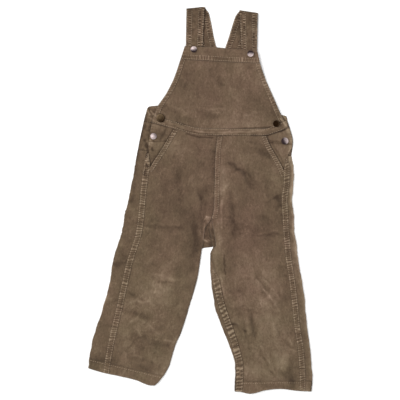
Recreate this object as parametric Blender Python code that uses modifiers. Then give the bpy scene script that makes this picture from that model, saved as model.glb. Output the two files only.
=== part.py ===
"""Small child's bib overalls in brown corduroy, laid flat on a surface with the front up.

All sizes below are millimetres in the garment's own frame: +X across, +Y from the hems to the
straps, +Z up from the surface that it lies on. "left" is -X and "right" is +X, as seen in plan.
The meshes are made in metres.
"""
import math

import bpy
import bmesh

MM = 0.001

# ---- cloth ------------------------------------------------------------------------------
WALL = 1.2            # one thickness of corduroy
DOUBLED = 1.8         # turned or doubled cloth, pressed
SEAM_WALL = 0.8       # what a felled seam stands proud of the panels
CLEAR = 0.3           # room between two pieces that lie on each other
SEAM_CLEAR = 0.4      # room between two panels that meet at a seam
WAIST_CLEAR = 0.5     # the same at the curved waist seam, under the waist band
FRONT_TOP = 4.4       # height of the front's outer face where it lies smooth
FACING_TOP = 2.9      # height of the pocket facing's outer face, below the front

# ---- trims ------------------------------------------------------------------------------
SIDE_SEAM_WIDTH = 11.0
INSEAM_WIDTH = 12.0
CENTRE_SEAM_WIDTH = 9.0
POCKET_HEM_WIDTH = 8.0
ARMHOLE_HEM_WIDTH = 9.0
WAIST_BAND_RISE = 11.5     # above the waist seam
WAIST_BAND_DROP = 1.5      # below it
STRAP_RADIUS = 1.3         # of the strap's centre line where it is folded over
FACING_UNDER_FRONT = 9.0
FACING_UNDER_SIDE = 4.0

# ---- legs: one row for each station from the waist seam down -----------------------------
# y_out, x_out   the leg's outer outline
# x_side         side opening above the notch, side seam below it
# x_front        outer edge of the front panel: pocket mouth, then side seam
# y_in, x_in     inner edge of the front panel: centre seam, crotch, then inseam
# x_back         inner outline of the back panel
LEG_COLUMNS = ("y_out", "x_out", "x_side", "x_front", "y_in", "x_in", "x_back")
LEFT_LEG = (
    (136.5, -99.0, -84.0, -45.0, 112.5, 31.0, 31.0),
    (112.0, -104.5, -89.0, -58.5, 87.5, 27.5, 27.5),
    (87.5, -109.5, -91.0, -72.5, 62.0, 26.0, 26.0),
    (65.0, -113.5, -93.0, -86.0, 38.5, 25.5, 25.5),
    (47.0, -116.0, -95.5, -95.5, 21.0, 25.0, 25.0),
    (17.5, -122.0, -99.0, -99.0, -9.5, 24.5, 24.5),
    (-9.0, -127.5, -101.5, -101.5, -34.0, 20.0, 19.0),
    (-24.5, -132.0, -103.0, -103.0, -51.0, 9.0, 16.5),
    (-52.5, -136.0, -107.0, -107.0, -78.0, 4.5, 16.5),
    (-66.5, -139.5, -110.0, -110.0, -88.0, 3.5, 3.5),
    (-105.0, -152.0, -123.5, -123.5, -135.0, -4.0, -4.0),
    (-147.0, -159.0, -133.0, -133.0, -177.0, -16.0, -16.0),
    (-189.0, -170.0, -142.5, -142.5, -220.5, -28.0, -28.0),
    (-227.5, -183.0, -152.0, -152.0, -259.0, -43.5, -43.5),
    (-259.0, -191.0, -158.5, -158.5, -290.5, -54.0, -54.0),
    (-276.5, -194.0, -161.5, -161.5, -308.0, -63.5, -63.5),
    (-293.5, -196.0, -164.5, -164.5, -325.0, -79.0, -79.0),
)
RIGHT_LEG = (
    (128.5, 157.0, 155.0, 114.5, 112.5, 31.0, 31.0),
    (103.0, 163.0, 156.5, 120.5, 87.5, 27.5, 27.5),
    (77.0, 161.0, 153.0, 133.0, 62.0, 26.0, 26.0),
    (52.5, 164.5, 152.0, 144.0, 38.5, 25.5, 25.5),
    (35.0, 164.5, 151.5, 151.5, 21.0, 25.0, 25.0),
    (0.0, 161.0, 148.0, 148.0, -9.5, 24.5, 24.5),
    (-30.0, 165.0, 149.5, 149.5, -34.0, 20.0, 19.0),
    (-52.5, 165.0, 150.5, 150.5, -51.0, 23.5, 16.5),
    (-79.0, 169.5, 153.0, 153.0, -78.0, 27.5, 16.5),
    (-98.0, 171.0, 154.5, 154.5, -96.0, 23.0, 17.5),
    (-140.0, 178.5, 161.0, 161.0, -140.0, 30.0, 19.5),
    (-182.0, 184.0, 166.0, 166.0, -182.0, 39.5, 25.0),
    (-224.0, 188.0, 170.5, 170.5, -224.0, 54.0, 39.0),
    (-259.0, 193.0, 176.0, 176.0, -259.0, 65.0, 53.0),
    (-290.5, 195.5, 178.5, 178.5, -290.5, 71.5, 61.5),
    (-316.0, 197.0, 179.5, 179.5, -317.0, 71.5, 61.0),
    (-334.0, 195.5, 178.5, 178.5, -334.5, 70.0, 60.5),
)
NOTCH, POCKET_END, CROTCH, INSEAM_TOP, HEM_TOP, HEM_EDGE = 2, 4, 6, 9, 15, 16
ROWS_PER_STATION = 3
HEM_SHORT = 0.035     # share of a station that the panels stop short of the hem
NOTCH_EASE = 0.6      # stations over which a turned panel starts
# first and last station of the strips that are sewn on a leg
SEAM_SPANS = {
    "pocket_hem": (0.14, POCKET_END - 0.78),
    "side_seam": (NOTCH + 0.12, HEM_TOP - 0.05),
    "inseam": (INSEAM_TOP + 0.7, HEM_TOP - 0.05),
    "centre_front_seam": (0.14, CROTCH - 0.1),
}
ROLL_WIDTH = 6.0      # of a front panel's free inner edge, which turns down onto the back
ROLL_DROP = 1.5
ROLL_CROWDING = 0.85  # below 1, columns are closer together at that edge
# how far the hem's edge hangs below a straight line: share of the way in, drop
LEFT_HEM_WAVE = ((0.0, 1.0), (0.2, 1.8), (0.45, 0.3), (0.7, -0.8), (0.9, 2.2), (1.0, 0.0))
RIGHT_HEM_WAVE = ((0.0, 1.5), (0.2, 0.0), (0.45, -3.5), (0.65, -1.0), (0.86, 5.0), (1.0, 1.0))

# waist seam, from the left side opening to the right one: x, y
WAIST_SEAM = (
    (-84.0, 136.5), (-44.0, 126.0), (0.0, 115.0), (56.0, 114.0), (112.0, 114.0),
    (135.0, 120.0), (155.0, 128.5),
)

# ---- bib and back bodice: left edge, right edge, a row for each station -------------------
EDGE_COLUMNS = ("y_left", "x_left", "y_right", "x_right")
BIB = (
    (269.5, -26.5, 262.0, 100.5),
    (246.0, -35.0, 239.0, 107.5),
    (217.0, -44.5, 212.0, 116.0),
    (189.0, -58.5, 185.5, 127.5),
    (163.5, -75.0, 157.5, 138.0),
    (149.5, -80.0, 142.5, 146.0),
    (136.5, -84.0, 128.5, 155.0),
)
BIB_HEM_ROW = 1
BIB_ROW = 25.0             # about what one row of the bib measures
BODICE = (
    (247.0, 5.0, 243.0, 66.5),
    (227.5, 0.0, 223.0, 72.5),
    (206.5, -12.0, 200.5, 86.0),
    (187.0, -35.0, 179.5, 107.0),
    (167.0, -68.0, 154.0, 131.0),
    (163.0, -90.5, 147.0, 151.5),
    (151.5, -95.0, 139.0, 153.5),
    (136.5, -99.0, 128.5, 156.5),
)
# how far the bib's free sides sink towards the surface: y, depth
BIB_DROOP = ((162.0, 0.8), (190.0, 1.8), (204.0, 1.8), (236.0, 0.0))
BIB_DROOP_WIDTH = 20.0
STRAP_LIFT = 1.9           # how far the bib is held up by the straps under it
STRAP_LIFT_FROM, STRAP_LIFT_TO = 198.0, 240.0      # y where it starts and where it is whole
STRAP_SLOPE_IN, STRAP_SLOPE_OUT = 4.0, 15.0        # the slope beside a strap

# ---- straps: the two corners of each cross line: x, y of the left, x, y of the right -------
# bow is how far the back run swings sideways on its way up
STRAPS = {
    "strap_left": {
        "bodice": (5.0, 247.5, 34.5, 245.6),
        "fold": (-23.0, 336.5, 6.5, 339.0),
        "end": (-26.0, 220.5, 2.5, 219.0),
        "bow": 4.6,
    },
    "strap_right": {
        "bodice": (36.5, 245.5, 66.5, 243.5),
        "fold": (69.5, 333.5, 101.0, 328.5),
        "end": (75.0, 217.0, 100.0, 215.0),
        "bow": -3.6,
    },
}
# share of the way from the bodice to the fold, share of the bow
STRAP_BOW = ((0.0, 0.0), (0.4, 0.35), (0.8, 1.0), (1.0, 0.0))
# centre height of a strap's front run: share of the way from the fold to its end, height
STRAP_SETTLE = ((0.0, 3.5), (0.3, 3.15), (0.8, 3.05), (1.0, 2.5))

# ---- buttons: x, y, diameter, piece they lie on --------------------------------------------
BUTTONS = {
    "strap_button_left": (-10.5, 263.0, 11.0, "bib"),
    "strap_button_right": (88.5, 255.5, 11.0, "bib"),
    "hip_button_upper_left": (-68.5, 143.0, 13.0, "band"),
    "hip_button_upper_right": (134.0, 133.5, 12.5, "band"),
    "hip_button_lower_left": (-80.8, 111.0, 10.5, "facing"),
    "hip_button_lower_right": (149.0, 103.0, 12.0, "facing"),
}
# turned profile of a button of diameter 1: radius, height
BUTTON_PROFILE = (
    (0.0, 0.27), (0.17, 0.255), (0.30, 0.205), (0.37, 0.165), (0.43, 0.185), (0.48, 0.16),
    (0.50, 0.11), (0.46, 0.06), (0.22, 0.04), (0.20, 0.0), (0.0, 0.0),
)
BUTTON_STEPS = 16

# ---- cells of the cloth grids -----------------------------------------------------------------
FOLD_CELLS = 5        # round a folded edge
RETURN_CELLS = 4      # on top, from a folded edge to the seam
FLOOR_CELLS = 12      # across a panel that lies on the surface

# ---- main folds: from x, y to x, y, spread, rise (troughs are negative) ---------------------
FOLDS = (
    (-88.0, -141.0, -50.0, -152.0, 10.0, 2.2),
    (-84.0, -124.0, -56.0, -133.0, 9.0, -1.0),
    (-104.0, -210.0, -82.0, -252.0, 11.0, 1.8),
    (-124.0, -232.0, -106.0, -268.0, 9.0, 1.2),
    (-88.0, -283.0, -76.0, -296.0, 9.0, 1.4),
    (-22.0, 40.0, -14.0, -10.0, 13.0, 1.6),
    (4.0, 6.0, 2.0, -26.0, 8.0, -1.1),
    (-70.0, -20.0, -54.0, -62.0, 14.0, 1.4),
    (50.0, 12.0, 48.0, -40.0, 9.0, 1.8),
    (78.0, 60.0, 98.0, 48.0, 9.0, -1.0),
    (96.0, -140.0, 130.0, -176.0, 11.0, 2.0),
    (88.0, -196.0, 98.0, -214.0, 11.0, -1.1),
    (122.0, -218.0, 142.0, -256.0, 11.0, 1.7),
    (128.0, -276.0, 132.0, -300.0, 10.0, 1.5),
    (100.0, -60.0, 116.0, -96.0, 13.0, 1.3),
    (4.0, 168.0, 32.0, 158.0, 9.0, 1.2),
    (48.0, 200.0, 70.0, 178.0, 14.0, 1.3),
    (-30.0, 178.0, -14.0, 160.0, 12.0, 0.9),
)

# ---- colours ------------------------------------------------------------------------------
CORDUROY = (0.155, 0.107, 0.073)
CORDUROY_WORN = (0.185, 0.130, 0.090)
CORDUROY_SHADE = (0.115, 0.078, 0.052)
BRONZE = (0.050, 0.034, 0.022)
ANTIQUE_SILVER = (0.42, 0.39, 0.40)


# ---- curves -------------------------------------------------------------------------------
def through(stations, values, at):
    """Value at a place, on a smooth curve through the values that never overshoots them."""
    last = len(stations) - 1
    at = min(max(at, stations[0]), stations[last])
    k = 0
    while k < last - 1 and at > stations[k + 1]:
        k += 1

    def rise(i):
        return (values[i + 1] - values[i]) / (stations[i + 1] - stations[i])

    def slope(i):
        if i == 0:
            return rise(0)
        if i == last:
            return rise(last - 1)
        before, after = rise(i - 1), rise(i)
        if before * after <= 0.0:
            return 0.0
        return 2.0 * before * after / (before + after)

    width = stations[k + 1] - stations[k]
    f = (at - stations[k]) / width
    g = 1.0 - f
    return (
        values[k] * (1.0 + 2.0 * f) * g * g
        + values[k + 1] * (1.0 + 2.0 * g) * f * f
        + slope(k) * width * f * g * g
        - slope(k + 1) * width * g * f * f
    )


def pairs(table, at):
    """Value at a place, from a table of (place, value) rows."""
    return through([row[0] for row in table], [row[1] for row in table], at)


def stations_of(table, names, corners=None):
    """A function that gives all the named sizes at any station of a table.

    corners names the sizes whose curve has a corner, and the station where it is.
    """
    columns = {name: [row[k] for row in table] for k, name in enumerate(names)}

    def size(name, t):
        first, last = 0, len(table) - 1
        corner = (corners or {}).get(name)
        if corner is not None:
            first, last = (first, corner) if t <= corner else (corner, last)
        return through(list(range(first, last + 1)), columns[name][first:last + 1], t)

    return lambda t: {name: size(name, t) for name in names}


def ease(low, high, value):
    """0 below low, 1 above high, and smooth between; low may be the greater one."""
    f = min(max((value - low) / (high - low), 0.0), 1.0)
    return f * f * (3.0 - 2.0 * f)


def mix(a, b, share):
    return a + (b - a) * share


# ---- the garment's surfaces ----------------------------------------------------------------
def fold_rise(x, y):
    """Height that the main folds add at a point of the front."""
    total = 0.0
    for x0, y0, x1, y1, spread, rise in FOLDS:
        dx, dy = x1 - x0, y1 - y0
        along = min(max(((x - x0) * dx + (y - y0) * dy) / (dx * dx + dy * dy), 0.0), 1.0)
        away = math.hypot(x - x0 - along * dx, y - y0 - along * dy) / spread
        total += rise * math.exp(-away * away)
    return total


def waist_y(x):
    return pairs(WAIST_SEAM, x)


def leg_top(x, y):
    """Outer face of a leg's front."""
    return FRONT_TOP + fold_rise(x, y)


def strap_under(x, y):
    """1 where a strap lies under the bib, falling to 0 beside it."""
    most = 0.0
    for strap in STRAPS.values():
        left, right = strap["end"][0], strap["end"][2]
        centre, half = (left + right) / 2.0, (right - left) / 2.0
        beside = ease(half + STRAP_SLOPE_OUT, half + STRAP_SLOPE_IN, abs(x - centre))
        most = max(most, beside)
    return most * ease(STRAP_LIFT_FROM, STRAP_LIFT_TO, y)


def bib_edges_at_y(y):
    """x of the bib's left and right edges at a height."""
    left = through([-row[0] for row in BIB], [row[1] for row in BIB], -y)
    right = through([-row[2] for row in BIB], [row[3] for row in BIB], -y)
    return left, right


def bib_top(x, y):
    """Outer face of the bib: up over the straps, and sunk at its free sides."""
    left, right = bib_edges_at_y(y)
    inside = min(max(min(x - left, right - x) / BIB_DROOP_WIDTH, 0.0), 1.0)
    sunk = pairs(BIB_DROOP, y) * (1.0 - inside) ** 2
    return FRONT_TOP + fold_rise(x, y) + STRAP_LIFT * strap_under(x, y) - sunk


class Leg:
    """One leg, by its stations: side is -1 for the left leg and +1 for the right."""

    def __init__(self, name, side, table, hem_wave):
        self.name = name
        self.side = side
        self.at = stations_of(table, LEG_COLUMNS, corners={"x_in": CROTCH})
        self.hem_wave = hem_wave

    def y(self, t, x):
        """y of station line t at x: the top lines follow the waist seam."""
        row, top = self.at(t), self.at(0)
        share = (x - row["x_out"]) / (row["x_in"] - row["x_out"])
        top_share = min((x - top["x_out"]) / (top["x_in"] - top["x_out"]), 1.0)
        y = mix(row["y_out"], row["y_in"], share)
        seam_bow = waist_y(x) - mix(top["y_out"], top["y_in"], top_share)
        y += seam_bow * (1.0 - min(t / POCKET_END, 1.0)) ** 2
        return y - pairs(self.hem_wave, share) * ease(HEM_TOP, HEM_EDGE, t)

    def point(self, t, x, z):
        return (x, self.y(t, x), z)


LEGS = (
    Leg("left", -1, LEFT_LEG, LEFT_HEM_WAVE),
    Leg("right", 1, RIGHT_LEG, RIGHT_HEM_WAVE),
)


# ---- making solids ---------------------------------------------------------------------------
def clear_scene():
    for thing in list(bpy.data.objects):
        bpy.data.objects.remove(thing, do_unlink=True)


def collection(name):
    made = bpy.data.collections.new(name)
    bpy.context.scene.collection.children.link(made)
    return made


def finish(name, colour, roughness, metallic):
    made = bpy.data.materials.new(name)
    made.use_nodes = True
    shader = made.node_tree.nodes["Principled BSDF"]
    shader.inputs["Base Color"].default_value = (*colour, 1.0)
    shader.inputs["Roughness"].default_value = roughness
    shader.inputs["Metallic"].default_value = metallic
    made.diffuse_color = (*colour, 1.0)
    return made


def add_object(name, mesh, material, into):
    made = bpy.data.objects.new(name, mesh)
    mesh.materials.append(material)
    into.objects.link(made)
    return made


def cloth(name, rows, columns, point, wall, material, into, grows=-1.0, drop=None, closed=False):
    """A cloth wall: a grid whose points come from point(row share, column share).

    The grid is the wall's outer face where grows is -1, its inner face where grows is 1, and
    its middle where grows is 0. drop(row, column) leaves a cell of the grid out, and closed
    joins the last column to the first.
    """
    bm = bmesh.new()
    bmesh.ops.create_grid(bm, x_segments=columns, y_segments=rows, size=0.5)
    cells = {}
    for face in bm.faces:
        middle = face.calc_center_median()
        cells[face] = (int((0.5 - middle.y) * rows), int((middle.x + 0.5) * columns))
    if drop:
        unwanted = [face for face, (row, column) in cells.items() if drop(row, column)]
        bmesh.ops.delete(bm, geom=unwanted, context="FACES")
    for vert in bm.verts:
        x, y, z = point(0.5 - vert.co.y, vert.co.x + 0.5)
        vert.co = (x * MM, y * MM, z * MM)
    if closed:
        bmesh.ops.remove_doubles(bm, verts=bm.verts, dist=0.00001)
    mesh = bpy.data.meshes.new(name)
    bm.to_mesh(mesh)
    bm.free()
    mesh.shade_smooth()
    made = add_object(name, mesh, material, into)
    thick = made.modifiers.new("cloth wall", "SOLIDIFY")
    thick.thickness = wall * MM
    thick.offset = grows
    thick.use_even_offset = True
    return made


def applied(name, rows, edges, surface, material, into):
    """A strip that lies on a panel: edges(share) gives its two edges, surface(x, y) the panel."""

    def point(along, across):
        (x0, y0), (x1, y1) = edges(along)
        x, y = mix(x0, x1, across), mix(y0, y1, across)
        return (x, y, surface(x, y) + CLEAR)

    return cloth(name, rows, 2, point, SEAM_WALL, material, into, grows=1.0)


# ---- legs ---------------------------------------------------------------------------------------
def leg_front(leg, material, into):
    """Front panel: its inner edge turns down onto the back wherever it is free."""

    def point(along, across):
        t = along * (HEM_TOP - HEM_SHORT)
        row = leg.at(t)
        outer = row["x_front"] - leg.side * SEAM_CLEAR / 2.0
        inner = row["x_in"] + leg.side * SEAM_CLEAR / 2.0
        x = mix(outer, inner, across)
        y = leg.y(t, x) - (WAIST_CLEAR / 2.0 if along == 0.0 else 0.0)
        free = ease(CROTCH - 0.5, CROTCH + 1.0, t)
        if leg.side > 0:
            free *= ease(INSEAM_TOP, INSEAM_TOP - NOTCH_EASE, t)
        near = 1.0 - min(abs(x - inner) / ROLL_WIDTH, 1.0)
        return (x, y, leg_top(x, y) - ROLL_DROP * free * near * near)

    def spread(along, across):
        return point(along, across ** ROLL_CROWDING)

    rows = HEM_TOP * ROWS_PER_STATION
    return cloth("leg_front_" + leg.name, rows, 13, flip(spread, leg), WALL, material, into)


def flip(point, leg):
    """Runs a grid's columns the other way on the right leg, so its face keeps pointing up."""
    if leg.side < 0:
        return point
    return lambda along, across: point(along, 1.0 - across)


def turned_path(leg, t, out, x_edge, x_to):
    """Points of a fold at the outline x_edge: up off the surface and back over the top.

    out is -1 where the edge faces left and +1 where it faces right.
    """
    radius = leg_top(x_edge - out * FRONT_TOP / 2.0, leg.y(t, x_edge)) / 2.0
    centre = x_edge - out * radius
    points = []
    for k in range(FOLD_CELLS + 1):
        turn = math.pi * k / FOLD_CELLS
        points.append((centre + out * radius * math.sin(turn), radius - radius * math.cos(turn)))
    for k in range(1, RETURN_CELLS + 1):
        x = mix(centre, x_to, k / RETURN_CELLS)
        points.append((x, leg_top(x, leg.y(t, x))))
    return points


def leg_back(leg, material, into):
    """Back panel: flat on the surface, and turned round the side fold as far as the seam.

    On the right leg it also turns round the inner fold, as far as the inseam.
    """
    turned_cells = FOLD_CELLS + RETURN_CELLS
    inner_cells = turned_cells if leg.side > 0 else 0
    columns = inner_cells + FLOOR_CELLS + turned_cells
    rows = HEM_TOP * ROWS_PER_STATION

    def section(t):
        """The panel's outer face from its inner edge to its outer one, as (x, z) points."""
        row = leg.at(t)
        seam = leg.side * SEAM_CLEAR / 2.0
        outer = turned_path(leg, t, leg.side, row["x_out"], row["x_side"] + seam)
        floor_end = mix(row["x_out"], outer[0][0], ease(NOTCH - NOTCH_EASE, NOTCH, t))
        floor_start = row["x_back"] + seam
        points = []
        if inner_cells:
            inner = turned_path(leg, t, -leg.side, row["x_back"], row["x_in"] - seam)
            turned = ease(INSEAM_TOP - NOTCH_EASE, INSEAM_TOP, t)
            floor_start = mix(floor_start, inner[0][0], turned)
            points += list(reversed(inner))[:-1]
        for k in range(FLOOR_CELLS + 1):
            points.append((mix(floor_start, floor_end, k / FLOOR_CELLS), 0.0))
        return points + outer[1:]

    sections = {}

    def point(along, across):
        row = round(along * rows)
        t = along * (HEM_TOP - HEM_SHORT)
        if row not in sections:
            sections[row] = section(t)
        x, z = sections[row][round(across * columns)]
        return (x, leg.y(t, x) - (WAIST_CLEAR / 2.0 if row == 0 else 0.0), z)

    def drop(row, column):
        if inner_cells and column < inner_cells:
            return row < INSEAM_TOP * ROWS_PER_STATION
        if column >= inner_cells + FLOOR_CELLS:
            return row < NOTCH * ROWS_PER_STATION
        return False

    # the grid faces the surface, so the wall grows up and inward
    def facing_down(along, across):
        return point(along, 1.0 - across if leg.side > 0 else across)

    def drop_mirrored(row, column):
        return drop(row, columns - 1 - column if leg.side > 0 else column)

    return cloth("leg_back_" + leg.name, rows, columns, facing_down, WALL, material, into,
                 drop=drop_mirrored)


def leg_hem(leg, material, into):
    """Turned-up hem: a flattened doubled ring round the leg's end."""
    top_cells = 12
    columns = top_cells + FLOOR_CELLS + 2 * FOLD_CELLS
    radius = FRONT_TOP / 2.0

    def section(t):
        """Once round the leg: over the top, round the inner edge, back below, up again."""
        row = leg.at(t)
        x_outer = row["x_out"] - leg.side * radius
        x_inner = row["x_back"] + leg.side * radius
        points = []
        for k in range(top_cells + 1):
            x = mix(x_outer, x_inner, k / top_cells)
            points.append((x, leg_top(x, leg.y(t, x))))
        outer_half, inner_half = points[0][1] / 2.0, points[-1][1] / 2.0
        for k in range(1, FOLD_CELLS + 1):
            turn = math.pi * k / FOLD_CELLS
            x = x_inner - leg.side * radius * math.sin(turn)
            points.append((x, inner_half + inner_half * math.cos(turn)))
        for k in range(1, FLOOR_CELLS + 1):
            points.append((mix(x_inner, x_outer, k / FLOOR_CELLS), 0.0))
        for k in range(1, FOLD_CELLS + 1):
            turn = math.pi * k / FOLD_CELLS
            x = x_outer + leg.side * radius * math.sin(turn)
            points.append((x, outer_half - outer_half * math.cos(turn)))
        return points

    def point(along, across):
        t = mix(HEM_TOP, HEM_EDGE, along)
        x, z = section(t)[round(across * columns)]
        return leg.point(t, x, z)

    return cloth("leg_hem_" + leg.name, 3, columns, flip(point, leg), DOUBLED, material, into,
                 closed=True)


def pocket_facing(leg, material, into):
    """Cloth inside the pocket mouth: from the side opening to under the front panel."""
    end = POCKET_END + 0.3

    def point(along, across):
        t = along * end
        row = leg.at(t)
        outer = row["x_side"] + leg.side * FACING_UNDER_SIDE * ease(NOTCH - 0.3, NOTCH + 0.3, t)
        inner = row["x_front"] - leg.side * FACING_UNDER_FRONT
        x = mix(outer, inner, across)
        return leg.point(t, x, FACING_TOP)

    return cloth("pocket_facing_" + leg.name, 12, 4, flip(point, leg), WALL, material, into)


def pocket_hem(leg, material, into):
    """Double-stitched hem along the pocket mouth."""

    def edges(along):
        t = mix(*SEAM_SPANS["pocket_hem"], along)
        x0 = leg.at(t)["x_front"] - leg.side * 2.0 * CLEAR
        x1 = x0 - leg.side * POCKET_HEM_WIDTH
        outer, inner = (x0, leg.y(t, x0)), (x1, leg.y(t, x1))
        return (outer, inner) if leg.side < 0 else (inner, outer)

    return applied("pocket_hem_" + leg.name, 14, edges, leg_top, material, into)


def side_seam(leg, material, into):
    """Felled side seam, from the foot of the side opening to the hem."""

    def edges(along):
        t = mix(*SEAM_SPANS["side_seam"], along)
        x = leg.at(t)["x_side"]
        x0, x1 = x - SIDE_SEAM_WIDTH / 2.0, x + SIDE_SEAM_WIDTH / 2.0
        return (x0, leg.y(t, x0)), (x1, leg.y(t, x1))

    return applied("side_seam_" + leg.name, 36, edges, leg_top, material, into)


def inseam(leg, material, into):
    """Felled inseam where it shows on a leg's front."""

    def edges(along):
        t = mix(*SEAM_SPANS["inseam"], along)
        x = leg.at(t)["x_in"]
        x0, x1 = x - INSEAM_WIDTH / 2.0, x + INSEAM_WIDTH / 2.0
        return (x0, leg.y(t, x0)), (x1, leg.y(t, x1))

    return applied("inseam_" + leg.name, 20, edges, leg_top, material, into)


def centre_front_seam(leg, material, into):
    """Felled seam from the waist band to the crotch, on the right leg's side."""

    def edges(along):
        t = mix(*SEAM_SPANS["centre_front_seam"], along)
        x0 = leg.at(t)["x_in"] + CLEAR
        x1 = x0 + CENTRE_SEAM_WIDTH
        return (x0, leg.y(t, x0)), (x1, leg.y(t, x1))

    return applied("centre_front_seam", 18, edges, leg_top, material, into)


# ---- bib, bodice and band ----------------------------------------------------------------------
class Upper:
    """The bib or the bodice, by its rows: the rows below bow_from bend to the waist seam."""

    def __init__(self, table, bow_from):
        self.at = stations_of(table, EDGE_COLUMNS)
        self.end = len(table) - 1
        self.bow_from = bow_from

    def plan(self, t, across):
        """x, y at a share of the way across row t."""
        row, last = self.at(t), self.at(self.end)
        x = mix(row["x_left"], row["x_right"], across)
        y = mix(row["y_left"], row["y_right"], across)
        share = (x - last["x_left"]) / (last["x_right"] - last["x_left"])
        bow = max((t - self.bow_from) / (self.end - self.bow_from), 0.0) ** 1.6
        return x, y + bow * (waist_y(x) - mix(last["y_left"], last["y_right"], share))


BIB_PANEL = Upper(BIB, 1.0)
BODICE_PANEL = Upper(BODICE, 3.0)


def bib_front(material, into):
    first = BIB_HEM_ROW + CLEAR / BIB_ROW

    def point(along, across):
        x, y = BIB_PANEL.plan(mix(first, BIB_PANEL.end, along), across)
        y += WAIST_CLEAR / 2.0 if along == 1.0 else 0.0
        return (x, y, bib_top(x, y))

    return cloth("bib_front", 18, 24, point, WALL, material, into)


def bib_hem(material, into):
    """Doubled top edge of the bib."""

    def point(along, across):
        x, y = BIB_PANEL.plan(along * BIB_HEM_ROW, across)
        return (x, y, bib_top(x, y))

    return cloth("bib_hem", 4, 24, point, DOUBLED, material, into)


def armhole_hem(side, material, into):
    """Narrow turned edge along one side of the bib."""
    first, last = BIB_HEM_ROW + 0.04, BIB_PANEL.end - (0.9 if side < 0 else 1.0)

    def edges(along):
        t = mix(first, last, along)
        row = BIB_PANEL.at(t)
        share = (ARMHOLE_HEM_WIDTH + CLEAR) / (row["x_right"] - row["x_left"])
        near = CLEAR / (row["x_right"] - row["x_left"])
        if side < 0:
            return BIB_PANEL.plan(t, near), BIB_PANEL.plan(t, share)
        return BIB_PANEL.plan(t, 1.0 - share), BIB_PANEL.plan(t, 1.0 - near)

    name = "armhole_hem_left" if side < 0 else "armhole_hem_right"
    return applied(name, 14, edges, bib_top, material, into)


def back_bodice(material, into):
    """Back panel with the two side wings, flat on the surface."""

    def point(along, across):
        x, y = BODICE_PANEL.plan(along * BODICE_PANEL.end, across)
        return (x, y + (WAIST_CLEAR / 2.0 if along == 1.0 else 0.0), WALL)

    return cloth("back_bodice", 14, 22, point, WALL, material, into)


def band_top(x, y):
    """What the waist band lies on: the higher of the bib and the legs, which meet under it."""
    return max(bib_top(x, max(y, waist_y(x))), leg_top(x, min(y, waist_y(x))))


def waist_band(material, into):
    """Narrow band over the waist seam, between the two side openings."""
    x0, x1 = WAIST_SEAM[0][0] + 0.5, WAIST_SEAM[-1][0] - 0.5

    def edges(along):
        x = mix(x0, x1, along)
        tilt = (waist_y(x + 4.0) - waist_y(x - 4.0)) / 8.0
        y = waist_y(x)
        foot = (x + WAIST_BAND_DROP * tilt, y - WAIST_BAND_DROP)
        head = (x - WAIST_BAND_RISE * tilt, y + WAIST_BAND_RISE)
        return foot, head

    return applied("waist_band", 32, edges, band_top, material, into)


# ---- straps and buttons --------------------------------------------------------------------------
def strap(name, plan, material, into):
    """A strap from the bodice to its fold at the shoulder and back under the bib."""
    back_rows, arc_rows, front_rows = 8, 6, 10
    rows = back_rows + arc_rows + front_rows
    low = DOUBLED / 2.0
    fold = plan["fold"]
    span = math.hypot(fold[2] - fold[0], fold[3] - fold[1])
    outward = (-(fold[3] - fold[1]) / span, (fold[2] - fold[0]) / span)
    reach = STRAP_RADIUS + low

    def folded(turn):
        """The cross line at an angle round the fold: 0 on the surface, pi on top."""
        push = STRAP_RADIUS * math.sin(turn) - reach
        z = low + STRAP_RADIUS * (1.0 - math.cos(turn))
        x0, y0, x1, y1 = fold
        ox, oy = outward[0] * push, outward[1] * push
        return (x0 + ox, y0 + oy, x1 + ox, y1 + oy), z

    def cross_line(row):
        if row <= back_rows:
            share = row / back_rows
            line, z = folded(0.0)
            x0, y0, x1, y1 = (mix(a, b, share) for a, b in zip(plan["bodice"], line))
            swing = plan["bow"] * pairs(STRAP_BOW, share)
            return (x0 + swing, y0, x1 + swing, y1), z
        if row <= back_rows + arc_rows:
            return folded(math.pi * (row - back_rows) / arc_rows)
        share = (row - back_rows - arc_rows) / front_rows
        line, z = folded(math.pi)
        return [mix(a, b, share) for a, b in zip(line, plan["end"])], pairs(STRAP_SETTLE, share)

    def point(along, across):
        (x0, y0, x1, y1), z = cross_line(round((1.0 - along) * rows))
        return (mix(x0, x1, across), mix(y0, y1, across), z)

    return cloth(name, rows, 3, point, DOUBLED, material, into, grows=0.0)


def button(name, x, y, diameter, carrier, material, into):
    """A domed metal button with a raised rim, turned about its own axis."""
    mesh = bpy.data.meshes.new(name)
    bm = bmesh.new()
    ring = [bm.verts.new((r * diameter * MM, 0.0, z * diameter * MM)) for r, z in BUTTON_PROFILE]
    for upper, lower in zip(ring, ring[1:]):
        bm.edges.new((upper, lower))
    bm.to_mesh(mesh)
    bm.free()
    made = add_object(name, mesh, material, into)
    seat = {
        "bib": lambda: bib_top(x, y),
        "band": lambda: band_top(x, y) + CLEAR + SEAM_WALL,
        "facing": lambda: FACING_TOP,
    }[carrier]()
    made.location = (x * MM, y * MM, (seat + CLEAR) * MM)
    turned = made.modifiers.new("turned", "SCREW")
    turned.steps = BUTTON_STEPS
    turned.render_steps = BUTTON_STEPS
    turned.use_merge_vertices = True
    turned.merge_threshold = 0.00001
    return made


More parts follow.
